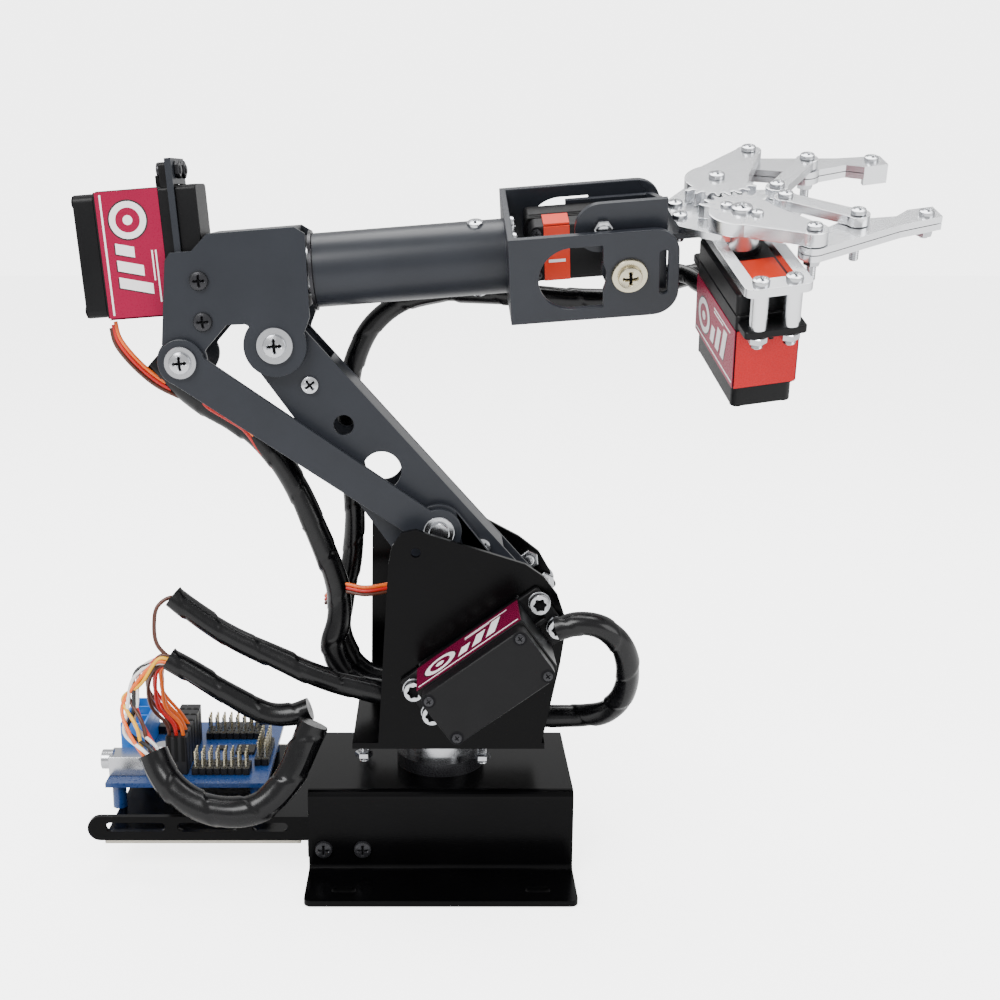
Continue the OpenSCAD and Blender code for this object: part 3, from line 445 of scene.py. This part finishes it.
def smooth_route(points, step=1.0):
    """A smooth line through the points, with places about one step apart."""
    p = [Vector(q) for q in points]
    p = [p[0] * 2 - p[1]] + p + [p[-1] * 2 - p[-2]]
    line = []
    for i in range(1, len(p) - 2):
        count = max(2, round((p[i + 1] - p[i]).length / step))
        for k in range(count):
            t = k / count
            line.append(0.5 * (2 * p[i] + (p[i + 1] - p[i - 1]) * t
                               + (2 * p[i - 1] - 5 * p[i] + 4 * p[i + 1] - p[i + 2]) * t * t
                               + (3 * p[i] - p[i - 1] - 3 * p[i + 1] + p[i + 2]) * t ** 3))
    line.append(p[-2])
    return line


def frames_along(line):
    """Directions square to the line at each of its places, turning as little as possible."""
    tangents = [(line[min(i + 1, len(line) - 1)] - line[max(i - 1, 0)]).normalized()
                for i in range(len(line))]
    side = tangents[0].orthogonal().normalized()
    frames = []
    for t in tangents:
        side = (side - t * side.dot(t)).normalized()
        frames.append((side, t.cross(side)))
    return frames


def tube(shape, line, radius, material, sides=10):
    """A swept tube; radius is a number or a function of (distance, angle)."""
    points = []
    gone = 0.0
    for i, (place, (u, w)) in enumerate(zip(line, frames_along(line))):
        if i:
            gone += (place - line[i - 1]).length
        for j in range(sides):
            a = 2 * math.pi * j / sides
            r = radius(gone, a) if callable(radius) else radius
            points.append(place + r * (math.cos(a) * u + math.sin(a) * w))
    shape.add(points, bridge(len(line), sides), ROW, material)


def wrapped(radius, pitch=15):
    """The radius of a spiral wrap: each turn overlaps the one before and lies in its own flat folds."""
    def at(distance, angle):
        turns = distance / pitch - angle / (2 * math.pi)
        turn_now = math.floor(turns)
        share = turns - turn_now
        fold = 0.05 * math.cos(3 * angle + 2.3 * turn_now) + 0.02 * math.cos(2 * angle + distance * 0.12)
        return radius * (0.87 + 0.09 * share - (0.06 if share > 0.96 else 0) + 0.5 * fold)
    return at


def sleeve(name, points, radius, body, nodes=(), blend=None):
    """A wrapped cable that rides on a body; given blend, it rides on none and stays where it is drawn."""
    line = smooth_route(points, 0.7)
    shape = Shape()
    tube(shape, line, wrapped(radius), "sleeve", 24)
    obj = shape.object(name, None if blend else body, nodes, smooth=28)
    if blend:
        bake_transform(obj)
    return obj


def wire(name, points, colour, body, radius=0.65, blend=None):
    """A thin insulated wire."""
    line = smooth_route(points, 0.8)
    shape = Shape()
    tube(shape, line, radius, colour, 10)
    obj = shape.object(name, None if blend else body, smooth=60)
    if blend:
        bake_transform(obj)
    return obj


def ribbon(name, points, colours, body, across, blend=None):
    """Wires side by side; across is the step from one wire to the next."""
    middle = (len(colours) - 1) / 2
    for i, colour in enumerate(colours):
        offset = Vector(across) * (i - middle)
        wire(f"{name}_{i + 1}", [Vector(p) + offset for p in points], colour, body, blend=blend)


PRINT_LAYER = 0.04
SERVO_COLOURS = ("wire_brown", "wire_red", "wire_orange")


def make_cords():
    sleeve("roll_lead_upper", ROLL_LEAD[2:10], 4.5, None, ["roll_lead"],
           ("forearm", "upper_arm", (-90, 5, 163), (-52, 5, 130)))
    sleeve("roll_lead_lower", ROLL_LEAD[9:], 4.5, None, [],
           ("upper_arm", "turntable", (-43, 5, 113), (-36, 4, 82)))
    sleeve("wrist_lead_front", WRIST_LEAD[:7], 3.9, None, ["wrist_lead"],
           ("tube", "forearm", (84, 25, 194), (20, 21, 189)))
    sleeve("wrist_lead_middle", WRIST_LEAD[6:13], 3.9, None, [],
           ("forearm", "upper_arm", (-2, 20, 190), (-30, 17, 150)))
    sleeve("wrist_lead_lower", WRIST_LEAD[12:], 3.9, None, [],
           ("upper_arm", "turntable", (-31, 18, 128), (-34, 20, 82)))
    sleeve("upper_sleeve_look", UPPER_SLEEVE, 4.2, "turntable", ["upper_sleeve"])
    sleeve("lower_sleeve_look", LOWER_SLEEVE, 4.2, "base", ["lower_sleeve"])
    sleeve("board_loom_look", BOARD_LOOM, 5.5, "base", ["board_loom"])
    sleeve("side_lead_look", SIDE_LEAD, 4.1, "turntable", ["side_lead"])
    sleeve("grip_lead", [(94, 8, 189), (90, 10, 191), (86, 13, 193), (82, 17, 195.5), (76, 21, 196),
                         (68, 24, 193), (58, 26, 189.5)], 3.2, None, [],
           ("wrist", "tube", (90, 10, 191), (66, 24, 192)))
    ribbon("roll_ribbon", [(-105.6, -3, 181), (-104.5, -3, 176), (-101.5, -2, 171), (-97, 0, 165.5),
                           (-92, 2, 161),
                           (-86, 4, 157.5)], SERVO_COLOURS, "forearm", (0.75, 0, 1.05))
    ribbon("bare_ribbon", [(-80, 3, 157), (-76, 0.8, 153.6), (-70, 0.4, 150), (-64.5, 1.0, 146),
                           (-60, 2.5, 139),
                           (-55, 4, 132)], ("wire_red", "wire_orange"), "upper_arm", (0.6, 0, 0.9))
    ribbon("turntable_ribbon", [(-40, 12, 84), (-37, 7, 88.5), (-33, 3, 91), (-26, 1, 90.4), (-19, 2, 91),
                                (-12, 4, 92)], SERVO_COLOURS, "turntable", (0, 0.2, 1.25))


# ---- Servos --------------------------------------------------------------------------

def servo_case(shape, at, low=28.0, ears=True, top=8.5):
    """A moulded servo case in three parts, with sunk seams between them drawn in a darker matte black as
    painted shade; the ears' mounting face is at z = 0.
    """
    bottom = -low - EAR_T
    cap = bottom + 7
    # The thin bands between the parts are the seams, drawn darker: painted shade
    for outline, z0, z1, material in (
            (round_rect(38.6, 19, 2.5, centre=(-SHAFT_OFF, 0)), bottom, cap - 0.25, "plastic"),
            (round_rect(39.3, 19.3, 1.2, centre=(-SHAFT_OFF, 0)), cap - 0.3, cap + 0.3, "plastic_shade"),
            (round_rect(39.8, 19.8, 1.4, centre=(-SHAFT_OFF, 0)), cap + 0.25, 1.6, "plastic"),
            (round_rect(39.3, 19.3, 1.2, centre=(-SHAFT_OFF, 0)), 1.5, 2.1, "plastic_shade"),
            (round_rect(40, 20, 1.6, centre=(-SHAFT_OFF, 0)), 2.0, top, "plastic")):
        prism(shape, at, outline, z0, z1, material, chamfer=0.3 if material == "plastic" else 0)
    for sx in (-1, 1):
        for sy in (-1, 1):
            place = at @ move(sx * 16.9 - SHAFT_OFF, sy * 7.3, bottom) @ turn(180, "X")
            # A near-black disc round each bottom screw: painted shade in its pocket
            lathe(shape, place, [(2.2, -0.1), (2.2, 0.08)], "recess_shade", 28)
            screw(shape, place @ move(0, 0, 0.02), 1.55, 0.6, 1, 0, "cross", "dark_steel")
    if ears:
        for sx in (-1, 1):
            ear(shape, at, sx)
    lathe(shape, at, [(6.5, top - 0.2), (6.5, top + 1.3), (6.2, top + 1.5)], "plastic", 40)
    lathe(shape, at, [(2.95, top), (2.95, top + 5.3), (2.6, top + 5.5)], "brass", 25)


def ear(shape, at, side):
    """One mounting ear and a stiffening rib; its two holes are not cut but drawn as dark matte discs on its
    underside, as painted shade.
    """
    x0, x1 = side * 19 - SHAFT_OFF, side * 27.25 - SHAFT_OFF
    x0, x1 = min(x0, x1), max(x0, x1)
    hole_x = side * EAR_X - SHAFT_OFF
    outer = round_rect(x1 - x0, 19, 1.2, centre=((x0 + x1) / 2, 0))
    prism(shape, at, outer, -EAR_T, 0, "plastic", chamfer=0.25)
    # Dark matte discs stand in for the open holes: painted shade
    for sy in (-1, 1):
        hole = at @ move(hole_x, sy * EAR_Y, 0)
        lathe(shape, hole, [(2.5, -EAR_T - 0.15), (2.5, -EAR_T + 0.1)], "plastic_shade", 24)
    rib = round_rect(4, 1.4, 0.4, centre=(side * 21.5 - SHAFT_OFF, 0))
    prism(shape, at, rib, -EAR_T - 3, -EAR_T + 0.1, "plastic", chamfer=0.2)


def label_wrap(shape, at, z0, z1, long_material, short_material, sides):
    """A film label laid on the case's sides: sides is the set of "+x", "-x", "+y" and "-y"."""
    for key in sides:
        material = long_material if key[1] == "y" else short_material
        sign = 1 if key[0] == "+" else -1
        if key[1] == "y":
            outline = [(-SHAFT_OFF - 19.6, sign * 9.9), (-SHAFT_OFF + 19.6, sign * 9.9),
                       (-SHAFT_OFF + 19.6, sign * 10.12), (-SHAFT_OFF - 19.6, sign * 10.12)]
        else:
            outline = [(-SHAFT_OFF + sign * 19.9, -9.6), (-SHAFT_OFF + sign * 19.9, 9.6),
                       (-SHAFT_OFF + sign * 20.12, 9.6), (-SHAFT_OFF + sign * 20.12, -9.6)]
        prism(shape, at, outline, z0, z1, material)


def print_mark(shape, at, outline, material, layer):
    """A flat printed mark in the label's own plane; a higher layer lies on the ones below."""
    prism(shape, at, outline, 0, layer * PRINT_LAYER, material)


def bar(x, y, w, h, slant=0.0):
    """The outline of a bar that leans over by slant."""
    low = x + slant * y
    high = x + slant * (y + h)
    return [(low, y), (low + w, y), (high + w, y + h), (high, y + h)]


def disc(x, y, r, count=40):
    return [(x + r * math.cos(2 * math.pi * i / count), y + r * math.sin(2 * math.pi * i / count))
            for i in range(count)]


def draw_label(shape, at, width, height, ground):
    """Prints a generic ring, slanted bars and thin rules, centred on the origin of at, facing +Z."""
    ring_r = height * 0.30
    ring_at = (-width * 0.27, -height * 0.02)
    for layer, share, material in ((1, 1.08, "print_black"), (2, 1, "print_white"), (3, 0.66, ground),
                                   (4, 0.26, "print_white")):
        print_mark(shape, at, disc(*ring_at, ring_r * share), material, layer)
    wide = width * 0.085
    for i in range(3):
        x = -width * 0.06 + i * width * 0.135
        tall = height * (0.30 + 0.12 * i)
        print_mark(shape, at, bar(x + 0.35, -height * 0.29, wide, tall, 0.25), "print_black", 1)
        print_mark(shape, at, bar(x, -height * 0.27, wide, tall, 0.25), "print_white", 2)
    for y, share in ((0.36, 0.52), (0.30, 0.30)):
        rule = bar(-width * 0.02, height * y, width * share * 0.8, height * 0.025)
        print_mark(shape, at, rule, "print_white", 2)
    rule = bar(-width * 0.48, -height * 0.44, width * 0.96, height * 0.03)
    print_mark(shape, at, rule, "print_white", 2)


def make_servos():
    # Label planes: +Z out of the case's long side at -Y, +X along the case
    long_low = turn(90, "X")
    for node, body, at, colour, short, sides in (
            ("elbow_servo", "turntable", arm_servo(-1), "label_wine", "label_wine", ("-y",)),
            ("shoulder_servo", "turntable", arm_servo(1), "label_wine", "label_wine", ("+y",)),
            ("roll_servo", "forearm", ROLL_SERVO, "label_pink", "label_pink", ("-y", "+x", "+y")),
            ("grip_servo", "wrist", GRIP_SERVO, "label_pink", "label_red", ("-y", "+y", "-x", "+x"))):
        shape = Shape()
        servo_case(shape, at)
        label_wrap(shape, at, -23.2, -3.4, colour, short, sides)
        for key in sides:
            if key[1] == "y":
                flip = turn(180, "Z") if key[0] == "+" else ROW
                plane = at @ move(-SHAFT_OFF, 0, -13.3) @ flip @ move(0, -10.12, 0) @ long_low
                draw_label(shape, plane, 39, 19.4, colour)
        if node == "grip_servo":
            prism(shape, at, round_rect(19, 16, 0.6, centre=(-18, 0)), 8.4, 8.62, "label_orange")
        shape.object(f"{node}_look", body, [node])
    shape = Shape()
    at = ROLL @ move(WRIST_X, 13.9 - 8.5, 0) @ turn(-90, "X")
    servo_case(shape, at, low=4, ears=False)
    # A film label folded over the case's end, from its top round to its bottom cap
    film_x, film_w = -SHAFT_OFF - 14.6, 8.2
    prism(shape, at, bar(film_x, -10.15, film_w, 0.75), -6, 1.2, "label_orange")
    prism(shape, at, bar(film_x, -9.4, film_w, 18.8), -6.75, -6.3, "label_orange")
    for y in (-6, 2):
        prism(shape, at, bar(film_x + 1.4, y, 5.4, 1.0), -6.8, -6.7, "print_white")
    # A nut on the bracket's near cheek
    nut(shape, ROLL @ move(104.5, -15, 14.5) @ facing(-1), 2.9, 2.2)
    shape.object("wrist_servo_look", "wrist", ["wrist_servo"])
    shape = Shape()
    at = move(0, 0, 27.5 - 8.5)
    servo_case(shape, at, low=13.5, ears=False)
    shape.object("yaw_servo_look", "base", ["yaw_servo"])


# ---- Fasteners -----------------------------------------------------------------------

def make_fasteners():
    shape = Shape()
    for x in (-39, -26):
        at = move(x, -26.5, 9) @ facing(-1)
        screw(shape, at, 2.9, 1.7, 1.5, 6, "cross", "dark_steel")
        nut(shape, at @ move(0, 0, -6.3), 2.8, 2.2, "dark_steel")
    shape.object("base_screws_look", "base", ["base_screws"])

    shape = Shape()
    for side in (-1, 1):
        for sx in (-1, 1):
            for sy in (-1, 1):
                at = arm_servo(side) @ move(sx * EAR_X - SHAFT_OFF, sy * EAR_Y, 0)
                lathe(shape, at @ move(0, 0, -EAR_T) @ turn(180, "X"),
                      [(3.6, 0), (3.6, 0.5), (3.5, 0.6)], "steel", 32)
                screw(shape, at @ move(0, 0, -EAR_T - 0.6) @ turn(180, "X"), 3.3, 2.9, 2, 7, "hex", "steel")
                nut(shape, at @ move(0, 0, SHEET), 3.6, 2.4)
    shape.object("arm_servo_screws_look", "turntable", ["arm_servo_screws"])

    shape = Shape()
    for p in ((102.4, 0), (25.8, -9.6)):
        for s in (-1, 1):
            at = ARM @ move(p[0], s * ARM_Y, p[1]) @ facing(s)
            screw(shape, at, 2.9, 1.7, 1.6, 1.0)
        lathe(shape, ARM @ move(p[0], -7.6, p[1]) @ facing(1), [(2.8, 0), (2.8, 15.2)], "steel", 32)
    shape.object("arm_spacers_look", "upper_arm", ["arm_spacers"])

    shape = Shape()
    for s in (-1, 1):
        at = FOREARM @ move(0, s * CHEEK_Y, 0) @ facing(s)
        lathe(shape, at, [(5.9, 0), (5.9, 0.9), (5.7, 1.2)], "steel", 48)
        screw(shape, at @ move(0, 0, 1.1), 3.7, 2.1, 2, 0)
    at = FOREARM @ move(-29.8, -LINK_Y - SHEET - 0.1, -2.8) @ facing(-1)
    lathe(shape, at, [(5.2, 0), (5.2, 0.9), (5.0, 1.2)], "steel", 48)
    screw(shape, at @ move(0, 0, 1.1), 3.5, 2.1, 2, 0)
    nut(shape, FOREARM @ move(-29.8, CHEEK_Y, -2.8) @ facing(1), 3.6, 2.6)
    shape.object("pivot_washers_look", "forearm", ["pivot_washers"])

    shape = Shape()
    for sx in (-1, 1):
        for sy in (-1, 1):
            at = ROLL_SERVO @ move(sx * EAR_X - SHAFT_OFF, sy * EAR_Y, 0)
            screw(shape, at @ move(0, 0, -EAR_T) @ turn(180, "X"), 2.6, 1.5, 1.9, 5, "cross", "dark_steel")
            nut(shape, at @ move(0, 0, SHEET), 2.8, 1.6, "dark_steel")
    for x, z in ((-21.6, 22), (-21.8, 9.2)):
        for s in (-1, 1):
            at = FOREARM @ move(x, s * CHEEK_Y, z) @ facing(s)
            screw(shape, at, 3, 1.6, 1.5, 2, "cross", "dark_steel")
    shape.object("forearm_screws_look", "forearm", ["forearm_screws"])

    shape = Shape()
    at = ROLL @ move(WRIST_X, -20, 0) @ facing(-1)
    lathe(shape, at, [(5.6, 0), (5.6, 0.9), (5.4, 1.2)], "brass", 48)
    screw(shape, at @ move(0, 0, 1.1), 3.8, 2.3, 2, 0, "cross", "brass")
    lathe(shape, at @ move(0, 0, -6.4), [(2.5, 0), (2.5, 6.5)], "brass", 32)
    lathe(shape, at @ move(0, 0, -4.9), [(4.5, 0), (4.5, 2.9)], "brass", 32)
    back = ROLL @ move(WRIST_X, 20, 0) @ facing(1)
    lathe(shape, back, [(5.6, 0), (5.6, 0.9), (5.4, 1.2)], "brass", 48)
    screw(shape, back @ move(0, 0, -2), 2.5, 4.1, 2, 0, "cross", "brass")
    shape.object("wrist_pivot_look", "tube", ["wrist_pivot"])

    shape = Shape()
    for s in (-1, 1):
        at = ROLL @ move(66, 0, 0) @ (turn(180, "X") if s < 0 else ROW) @ move(0, 0, 11.5)
        screw(shape, at, 2.6, 1.5, 1.5, 0)
        for y in (-6, 6):
            place = ROLL @ move(77, y, s * 8) @ turn(90, "Y")
            screw(shape, place, 2.6, 2, 1.5, 0)
    shape.object("tube_screws_look", "tube", ["tube_screws"])

    shape = Shape()
    crank_tip = move(-0.6, -LINK_Y - SHEET, 115.4) @ facing(-1)
    lathe(shape, crank_tip, [(5.0, 0), (5.0, 0.8), (4.8, 1.0)], "steel", 48)
    lathe(shape, crank_tip @ move(0, 0, 0.9), [(3.4, 0), (3.4, 1.7), (3.1, 2.1)], "steel", 40)
    lathe(shape, crank_tip @ move(0, 0, 3.0), [(1.8, -0.3), (1.8, 0.15), (1.6, 0.2)], "dark_steel", 24)
    lathe(shape, crank_tip @ move(0, 0, -4.8), [(2.5, 0), (2.5, 4.9)], "steel", 32)
    shape.object("link_pin_look", "link", ["link_pin"])

    shape = Shape()
    top = 44.5 + SHEET
    for a in (30, 150, 270):
        screw(shape, turn(a, "Z") @ move(6.5, 0, top), 2.2, 1.5, 1.25, 2)
    screw(shape, move(0, 0, top), 3.2, 1.6, 1.9, 2)
    for x, y in ((14, -14), (-26, -12), (-26, 12)):
        at = move(x, y, 44.5 - 10.2)
        thread(shape, at, 1.5, 0, 10.2)
        nut(shape, at @ move(0, 0, 1.4), 2.9, 2.2, bore=0.45)
    shape.object("turntable_bolts_look", "turntable", ["turntable_bolts"])


# ---- Gripper -------------------------------------------------------------------------

def make_gripper_fasteners():
    shape = Shape()
    for sx in (-1, 1):
        for sy in (-1, 1):
            at = GRIP_SERVO @ move(sx * EAR_X - SHAFT_OFF, sy * EAR_Y, 0)
            lathe(shape, at, [(2.7, 0), (2.7, 11.6)], "alloy", 40)
            lathe(shape, at @ move(0, 0, 11.6), [(1.9, 0), (1.9, 2.8)], "steel", 24)
            thread(shape, at @ move(0, 0, -6.5), 1.9, 0, 6.5)
            nut(shape, at @ move(0, 0, -EAR_T - 0.1) @ turn(180, "X"), 3, 2.4, bore=0.55)
            if sx < 0:
                screw(shape, at @ move(0, 0, 14.4), 2.6, 1.9, 1.9, 0)
    for s in (-1, 1):
        screw(shape, ROLL @ move(130, s * 4.5, 11 - 0.2), 2.4, 1.7, 1.5, 8)
        at = GRIP @ move(17, s * 4, 0)
        lathe(shape, at, [(1.5, -2.6), (1.5, 3.2)], "steel", 20)
        nut(shape, at @ move(0, 0, -2.6) @ turn(180, "X"), 2.5, 2.2)
        screw(shape, at @ move(0, 0, 3.1), 2.4, 1.7, 1.5, 0)
    at = GRIP @ move(0, GEAR_D / 2, 0)
    lathe(shape, at, [(2.1, -2.6), (2.1, LEVER_T + 0.2)], "steel", 24)
    nut(shape, at @ move(0, 0, -2.6) @ turn(180, "X"), 3.4, 2.4)
    screw(shape, at @ move(0, 0, LEVER_T + 0.1), 2.6, 1.8, 1.5, 0)
    shape.object("gripper_fasteners_look", "wrist", ["gripper_fasteners"])

    for side, name in ((-1, "drive"), (1, "driven")):
        shape = Shape()
        pivot = GRIP @ move(0, side * GEAR_D / 2, 0) @ turn(side * OPEN, "Z")
        place = pivot @ move(24.5, 0, 0) @ turn(-side * OPEN, "Z")
        for x, y, base in ((0, 0, LEVER_T), (17, 9, 3)):
            at = place @ move(x, -side * y, 0)
            thread(shape, at, 1.5, -12.3, base)
            screw(shape, at @ move(0, 0, base + 0.2), 2.4, 1.7, 1.5, 0)
            nut(shape, at @ move(0, 0, -4.7) @ turn(180, "X"), 2.7, 2.6, bore=0.5)
        at = place @ move(39, -side * 9.3, 0)
        thread(shape, at, 1.5, -7.7, -0.3)
        screw(shape, at @ move(0, 0, -0.3), 2.4, 1.7, 1.5, 0)
        nut(shape, at @ move(0, 0, -4.7) @ turn(180, "X"), 2.7, 2.4, bore=0.5)
        shape.object(f"{name}_finger_screws_look", f"{name}_finger", [f"{name}_finger_screws"])

    shape = Shape()
    at = GRIP @ move(0, -GEAR_D / 2, 0)
    lathe(shape, at, [(5.8, -6.8), (5.8, -0.1)], "alloy", 40)
    screw(shape, at @ move(0, 0, LEVER_T), 3.4, 1.8, 2.9, 4.4)
    for a in (0, 180):
        place = at @ turn(-OPEN + a, "Z") @ move(5.4, 0, LEVER_T)
        screw(shape, place, 1.9, 1.4, 1.1, 4)
    shape.object("grip_horn_look", "drive_lever", ["grip_horn"])


# ---- Control board -------------------------------------------------------------------

PCB_TOP = 23.2
PIN_PITCH = 2.54


def make_board():
    shape = Shape()
    for x, y, w, h, t in ((-100, 46, 9, 6, 1.4), (-78, 44, 12, 5, 1.6), (-71, 22, 7, 7, 1.2),
                          (-104, 40, 4, 4, 3),
                          (-80, 24, 4, 3, 0.9), (-74, 14, 3, 2, 0.8), (-82, 12, 3, 2, 0.8)):
        prism(shape, move(x, y, PCB_TOP), round_rect(w, h, 0.4), 0, t, "chip", 0.15)
        for i in range(int(w // 1.3)):
            for s in (-1, 1):
                prism(shape, move(x - w / 2 + 0.8 + i * 1.3, y + s * (h / 2 + 0.3), PCB_TOP),
                      round_rect(0.5, 0.8, 0.1, 2), 0, 0.4, "steel")
    for x, y, r, h in ((-99, 12, 3, 7), (-68, 44, 2.4, 5)):
        lathe(shape, move(x, y, PCB_TOP), [(r, 0), (r, h - 0.3), (r - 0.3, h)], "steel", 32)
    shape.object("board_parts", "base")

    shape = Shape()
    outline = round_rect(9, 26, 0.6, centre=(-110.5, 29))
    prism(shape, ROW, outline, PCB_TOP, PCB_TOP + 8.5, "terminal", 0.3)
    for y in (16.4, 24.7, 33.3, 41.6):
        prism(shape, ROW, round_rect(8.6, 0.8, 0.2, 2, (-110.5, y)), PCB_TOP + 8.3, PCB_TOP + 13,
              "terminal", 0.1)
    for x in (-114.6, -106.4):
        prism(shape, ROW, round_rect(0.8, 25.9, 0.2, 2, (x, 29)), PCB_TOP + 8.3, PCB_TOP + 13, "terminal",
              0.1)
    for y in (20.5, 29, 37.5):
        screw(shape, move(-110.5, y, PCB_TOP + 8.4), 2.6, 2.2, 1, 0)
    shape.object("terminal_block_look", "base", ["terminal_block"])

    shape = Shape()
    for i in range(6):
        y = 1 + i * 5.4 + 2.45
        outline = round_rect(7.4, 4.9, 0.5, centre=(-92.3, y))
        prism(shape, ROW, outline, PCB_TOP, PCB_TOP + 14, "chip", 0.2)
        # The openings on each plug's top are dark matte rectangles: painted shade in the holes
        for k in (-1, 0, 1):
            prism(shape, ROW, round_rect(1.5, 1.2, 0.2, 2, (-92.3 + 2.4 * k, y - 1.9)), PCB_TOP + 5,
                  PCB_TOP + 14.05, "plastic_shade")
    shape.object("servo_plugs_look", "base", ["servo_plugs"])

    shape = Shape()
    for x0, y0, columns, rows in ((-86, 2, 8, 3), (-86, 34, 8, 3), (-65, 10, 2, 8)):
        for i in range(columns):
            for j in range(rows):
                at = move(x0 + i * PIN_PITCH, y0 + j * PIN_PITCH, PCB_TOP)
                prism(shape, at, round_rect(2.5, 2.5, 0.4, 1), 0, 2.5, "chip", 0.1)
                prism(shape, at, round_rect(0.7, 0.7, 0.1, 1), 2.4, 8.5, "gold", 0.15)
    shape.object("pin_headers_look", "base", ["pin_headers"])

    shape = Shape()
    prism(shape, ROW, round_rect(13, 9, 0.4, centre=(-109.5, 4.5)), PCB_TOP, PCB_TOP + 7, "steel", 0.2)
    lathe(shape, move(-115, 4.5, PCB_TOP + 4.5) @ turn(-90, "Y"),
          [(3.4, 0), (3.4, 3.8), (3.1, 4), (1.4, 4), (1.4, 1)],
          "steel", 32)
    shape.object("power_jack_look", "base", ["power_jack"])

    # Leads from the plugs, up and over towards the sleeves
    end = Vector((-90, -11, 69))
    for i in range(3):
        y = 3.4 + i * 5.4
        for k, colour in enumerate(SERVO_COLOURS):
            x = -94.7 + 2.4 * k
            wire(f"plug_lead_{i + 1}_{k + 1}",
                 [(x, y, 36.5), (x - 1 - i, y - 1, 42), (x - 5 - i * 1.5, y - 4, 49 + i),
                  (x - 5 - i, y - 8, 58 + i),
                  (-96 + k, -9 + i * 0.7, 66 + i), end + Vector((k * 0.9, i * 0.8, i * 0.9))], colour, "base")
    bundle = ("wire_white", "wire_red", "wire_brown", "wire_yellow", "wire_orange", "wire_white",
              "wire_black")
    for k, colour in enumerate(bundle):
        a = 2 * math.pi * k / len(bundle)
        u, w = math.cos(a), math.sin(a)
        wire(f"side_loop_{k + 1}",
             [(-92.6 + 1.6 * u, -25 + 1.6 * w, 38 + u), (-96.5 + 2.4 * u, -23 + 2.4 * w, 43 + u),
              (-102 + 3.0 * w, -19 + 2 * u, 49 + 2.2 * w), (-104 + 2.6 * u, -15 + 2 * w, 56 + 2.6 * w),
              (-101 + 2 * w, -12 + 1.5 * u, 64 + 1.8 * u), (-95 + w, -10 + 1.4 * u, 69.6 + 1.4 * w),
              (-89.5, -10.2 + 1.3 * u, 69.2 + 1.3 * w)], colour, "base")
    wire("sleeve_wire",
         [(-84, -4.8, 86), (-90, -4.4, 89.8), (-95, -6, 87), (-96, -8, 81), (-95, -9.5, 75), (-91, -10, 70.4),
          (-86, -10.7, 67)], "wire_brown", None, 0.7,
         ("turntable", "base", (-90, -5, 89), (-92, -10, 73)))


# ---- CAD pieces that stay --------------------------------------------------------------

FINISH = {
    "sheet_gloss": (0.35, ["base_frame", "board_tray", "turntable_bracket"]),
    "sheet_satin": (0.3, ["upper_arm_channel", "link_bar", "crank", "forearm_bracket", "wrist_fork",
                          "wrist_bracket"]),
    "alloy": (0.25, ["gripper_base", "grip_servo_frame", "drive_lever", "driven_lever", "drive_link",
                     "driven_link",
                     "drive_finger", "driven_finger"]),
    "steel": (0, ["bearing_outer_ring", "bearing_inner_ring", "bearing_cage", "shoulder_hub", "pivot_axles",
                  "roll_hub", "wrist_horn", "yaw_hub"]),
    "dark_steel": (0, ["bearing_housing", "tube_bearing"]),
    "pcb": (0, ["control_board"]),
    "cream": (0.3, ["board_plate"]),
}


def finish_cad():
    for key, (width, nodes) in FINISH.items():
        for name in nodes:
            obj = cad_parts[name]
            for place in obj.material_slots:
                place.material = MAT[key]
            if width:
                soften(obj, width, weld=True)
    tube_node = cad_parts["forearm_tube"]
    for place in tube_node.material_slots:
        place.material = MAT["sheet_satin"]


# ---- Floor ---------------------------------------------------------------------------

def make_floor():
    mesh = bpy.data.meshes.new("floor")
    size = 3.0
    mesh.from_pydata([(-size, -size, 0), (size, -size, 0), (size, size, 0), (-size, size, 0)], [],
                     [(0, 1, 2, 3)])
    floor = bpy.data.objects.new("floor", mesh)
    floor.location.z = -0.0005
    bpy.context.scene.collection.objects.link(floor)
    white = surface("floor", (0.86, 0.86, 0.86), 0.7, grain=40, bump=0.0, vary=0.01)
    shader = white.node_tree.nodes["Principled BSDF"]
    shader.inputs["Emission Color"].default_value = (1, 1, 1, 1)
    white.node_tree.links.new(seen_by_camera(white.node_tree, 0.0, 3.4), shader.inputs["Emission Strength"])
    mesh.materials.append(white)


make_camera()
make_cords()
make_studio()
make_servos()
make_fasteners()
make_gripper_fasteners()
make_board()
finish_cad()
make_floor()
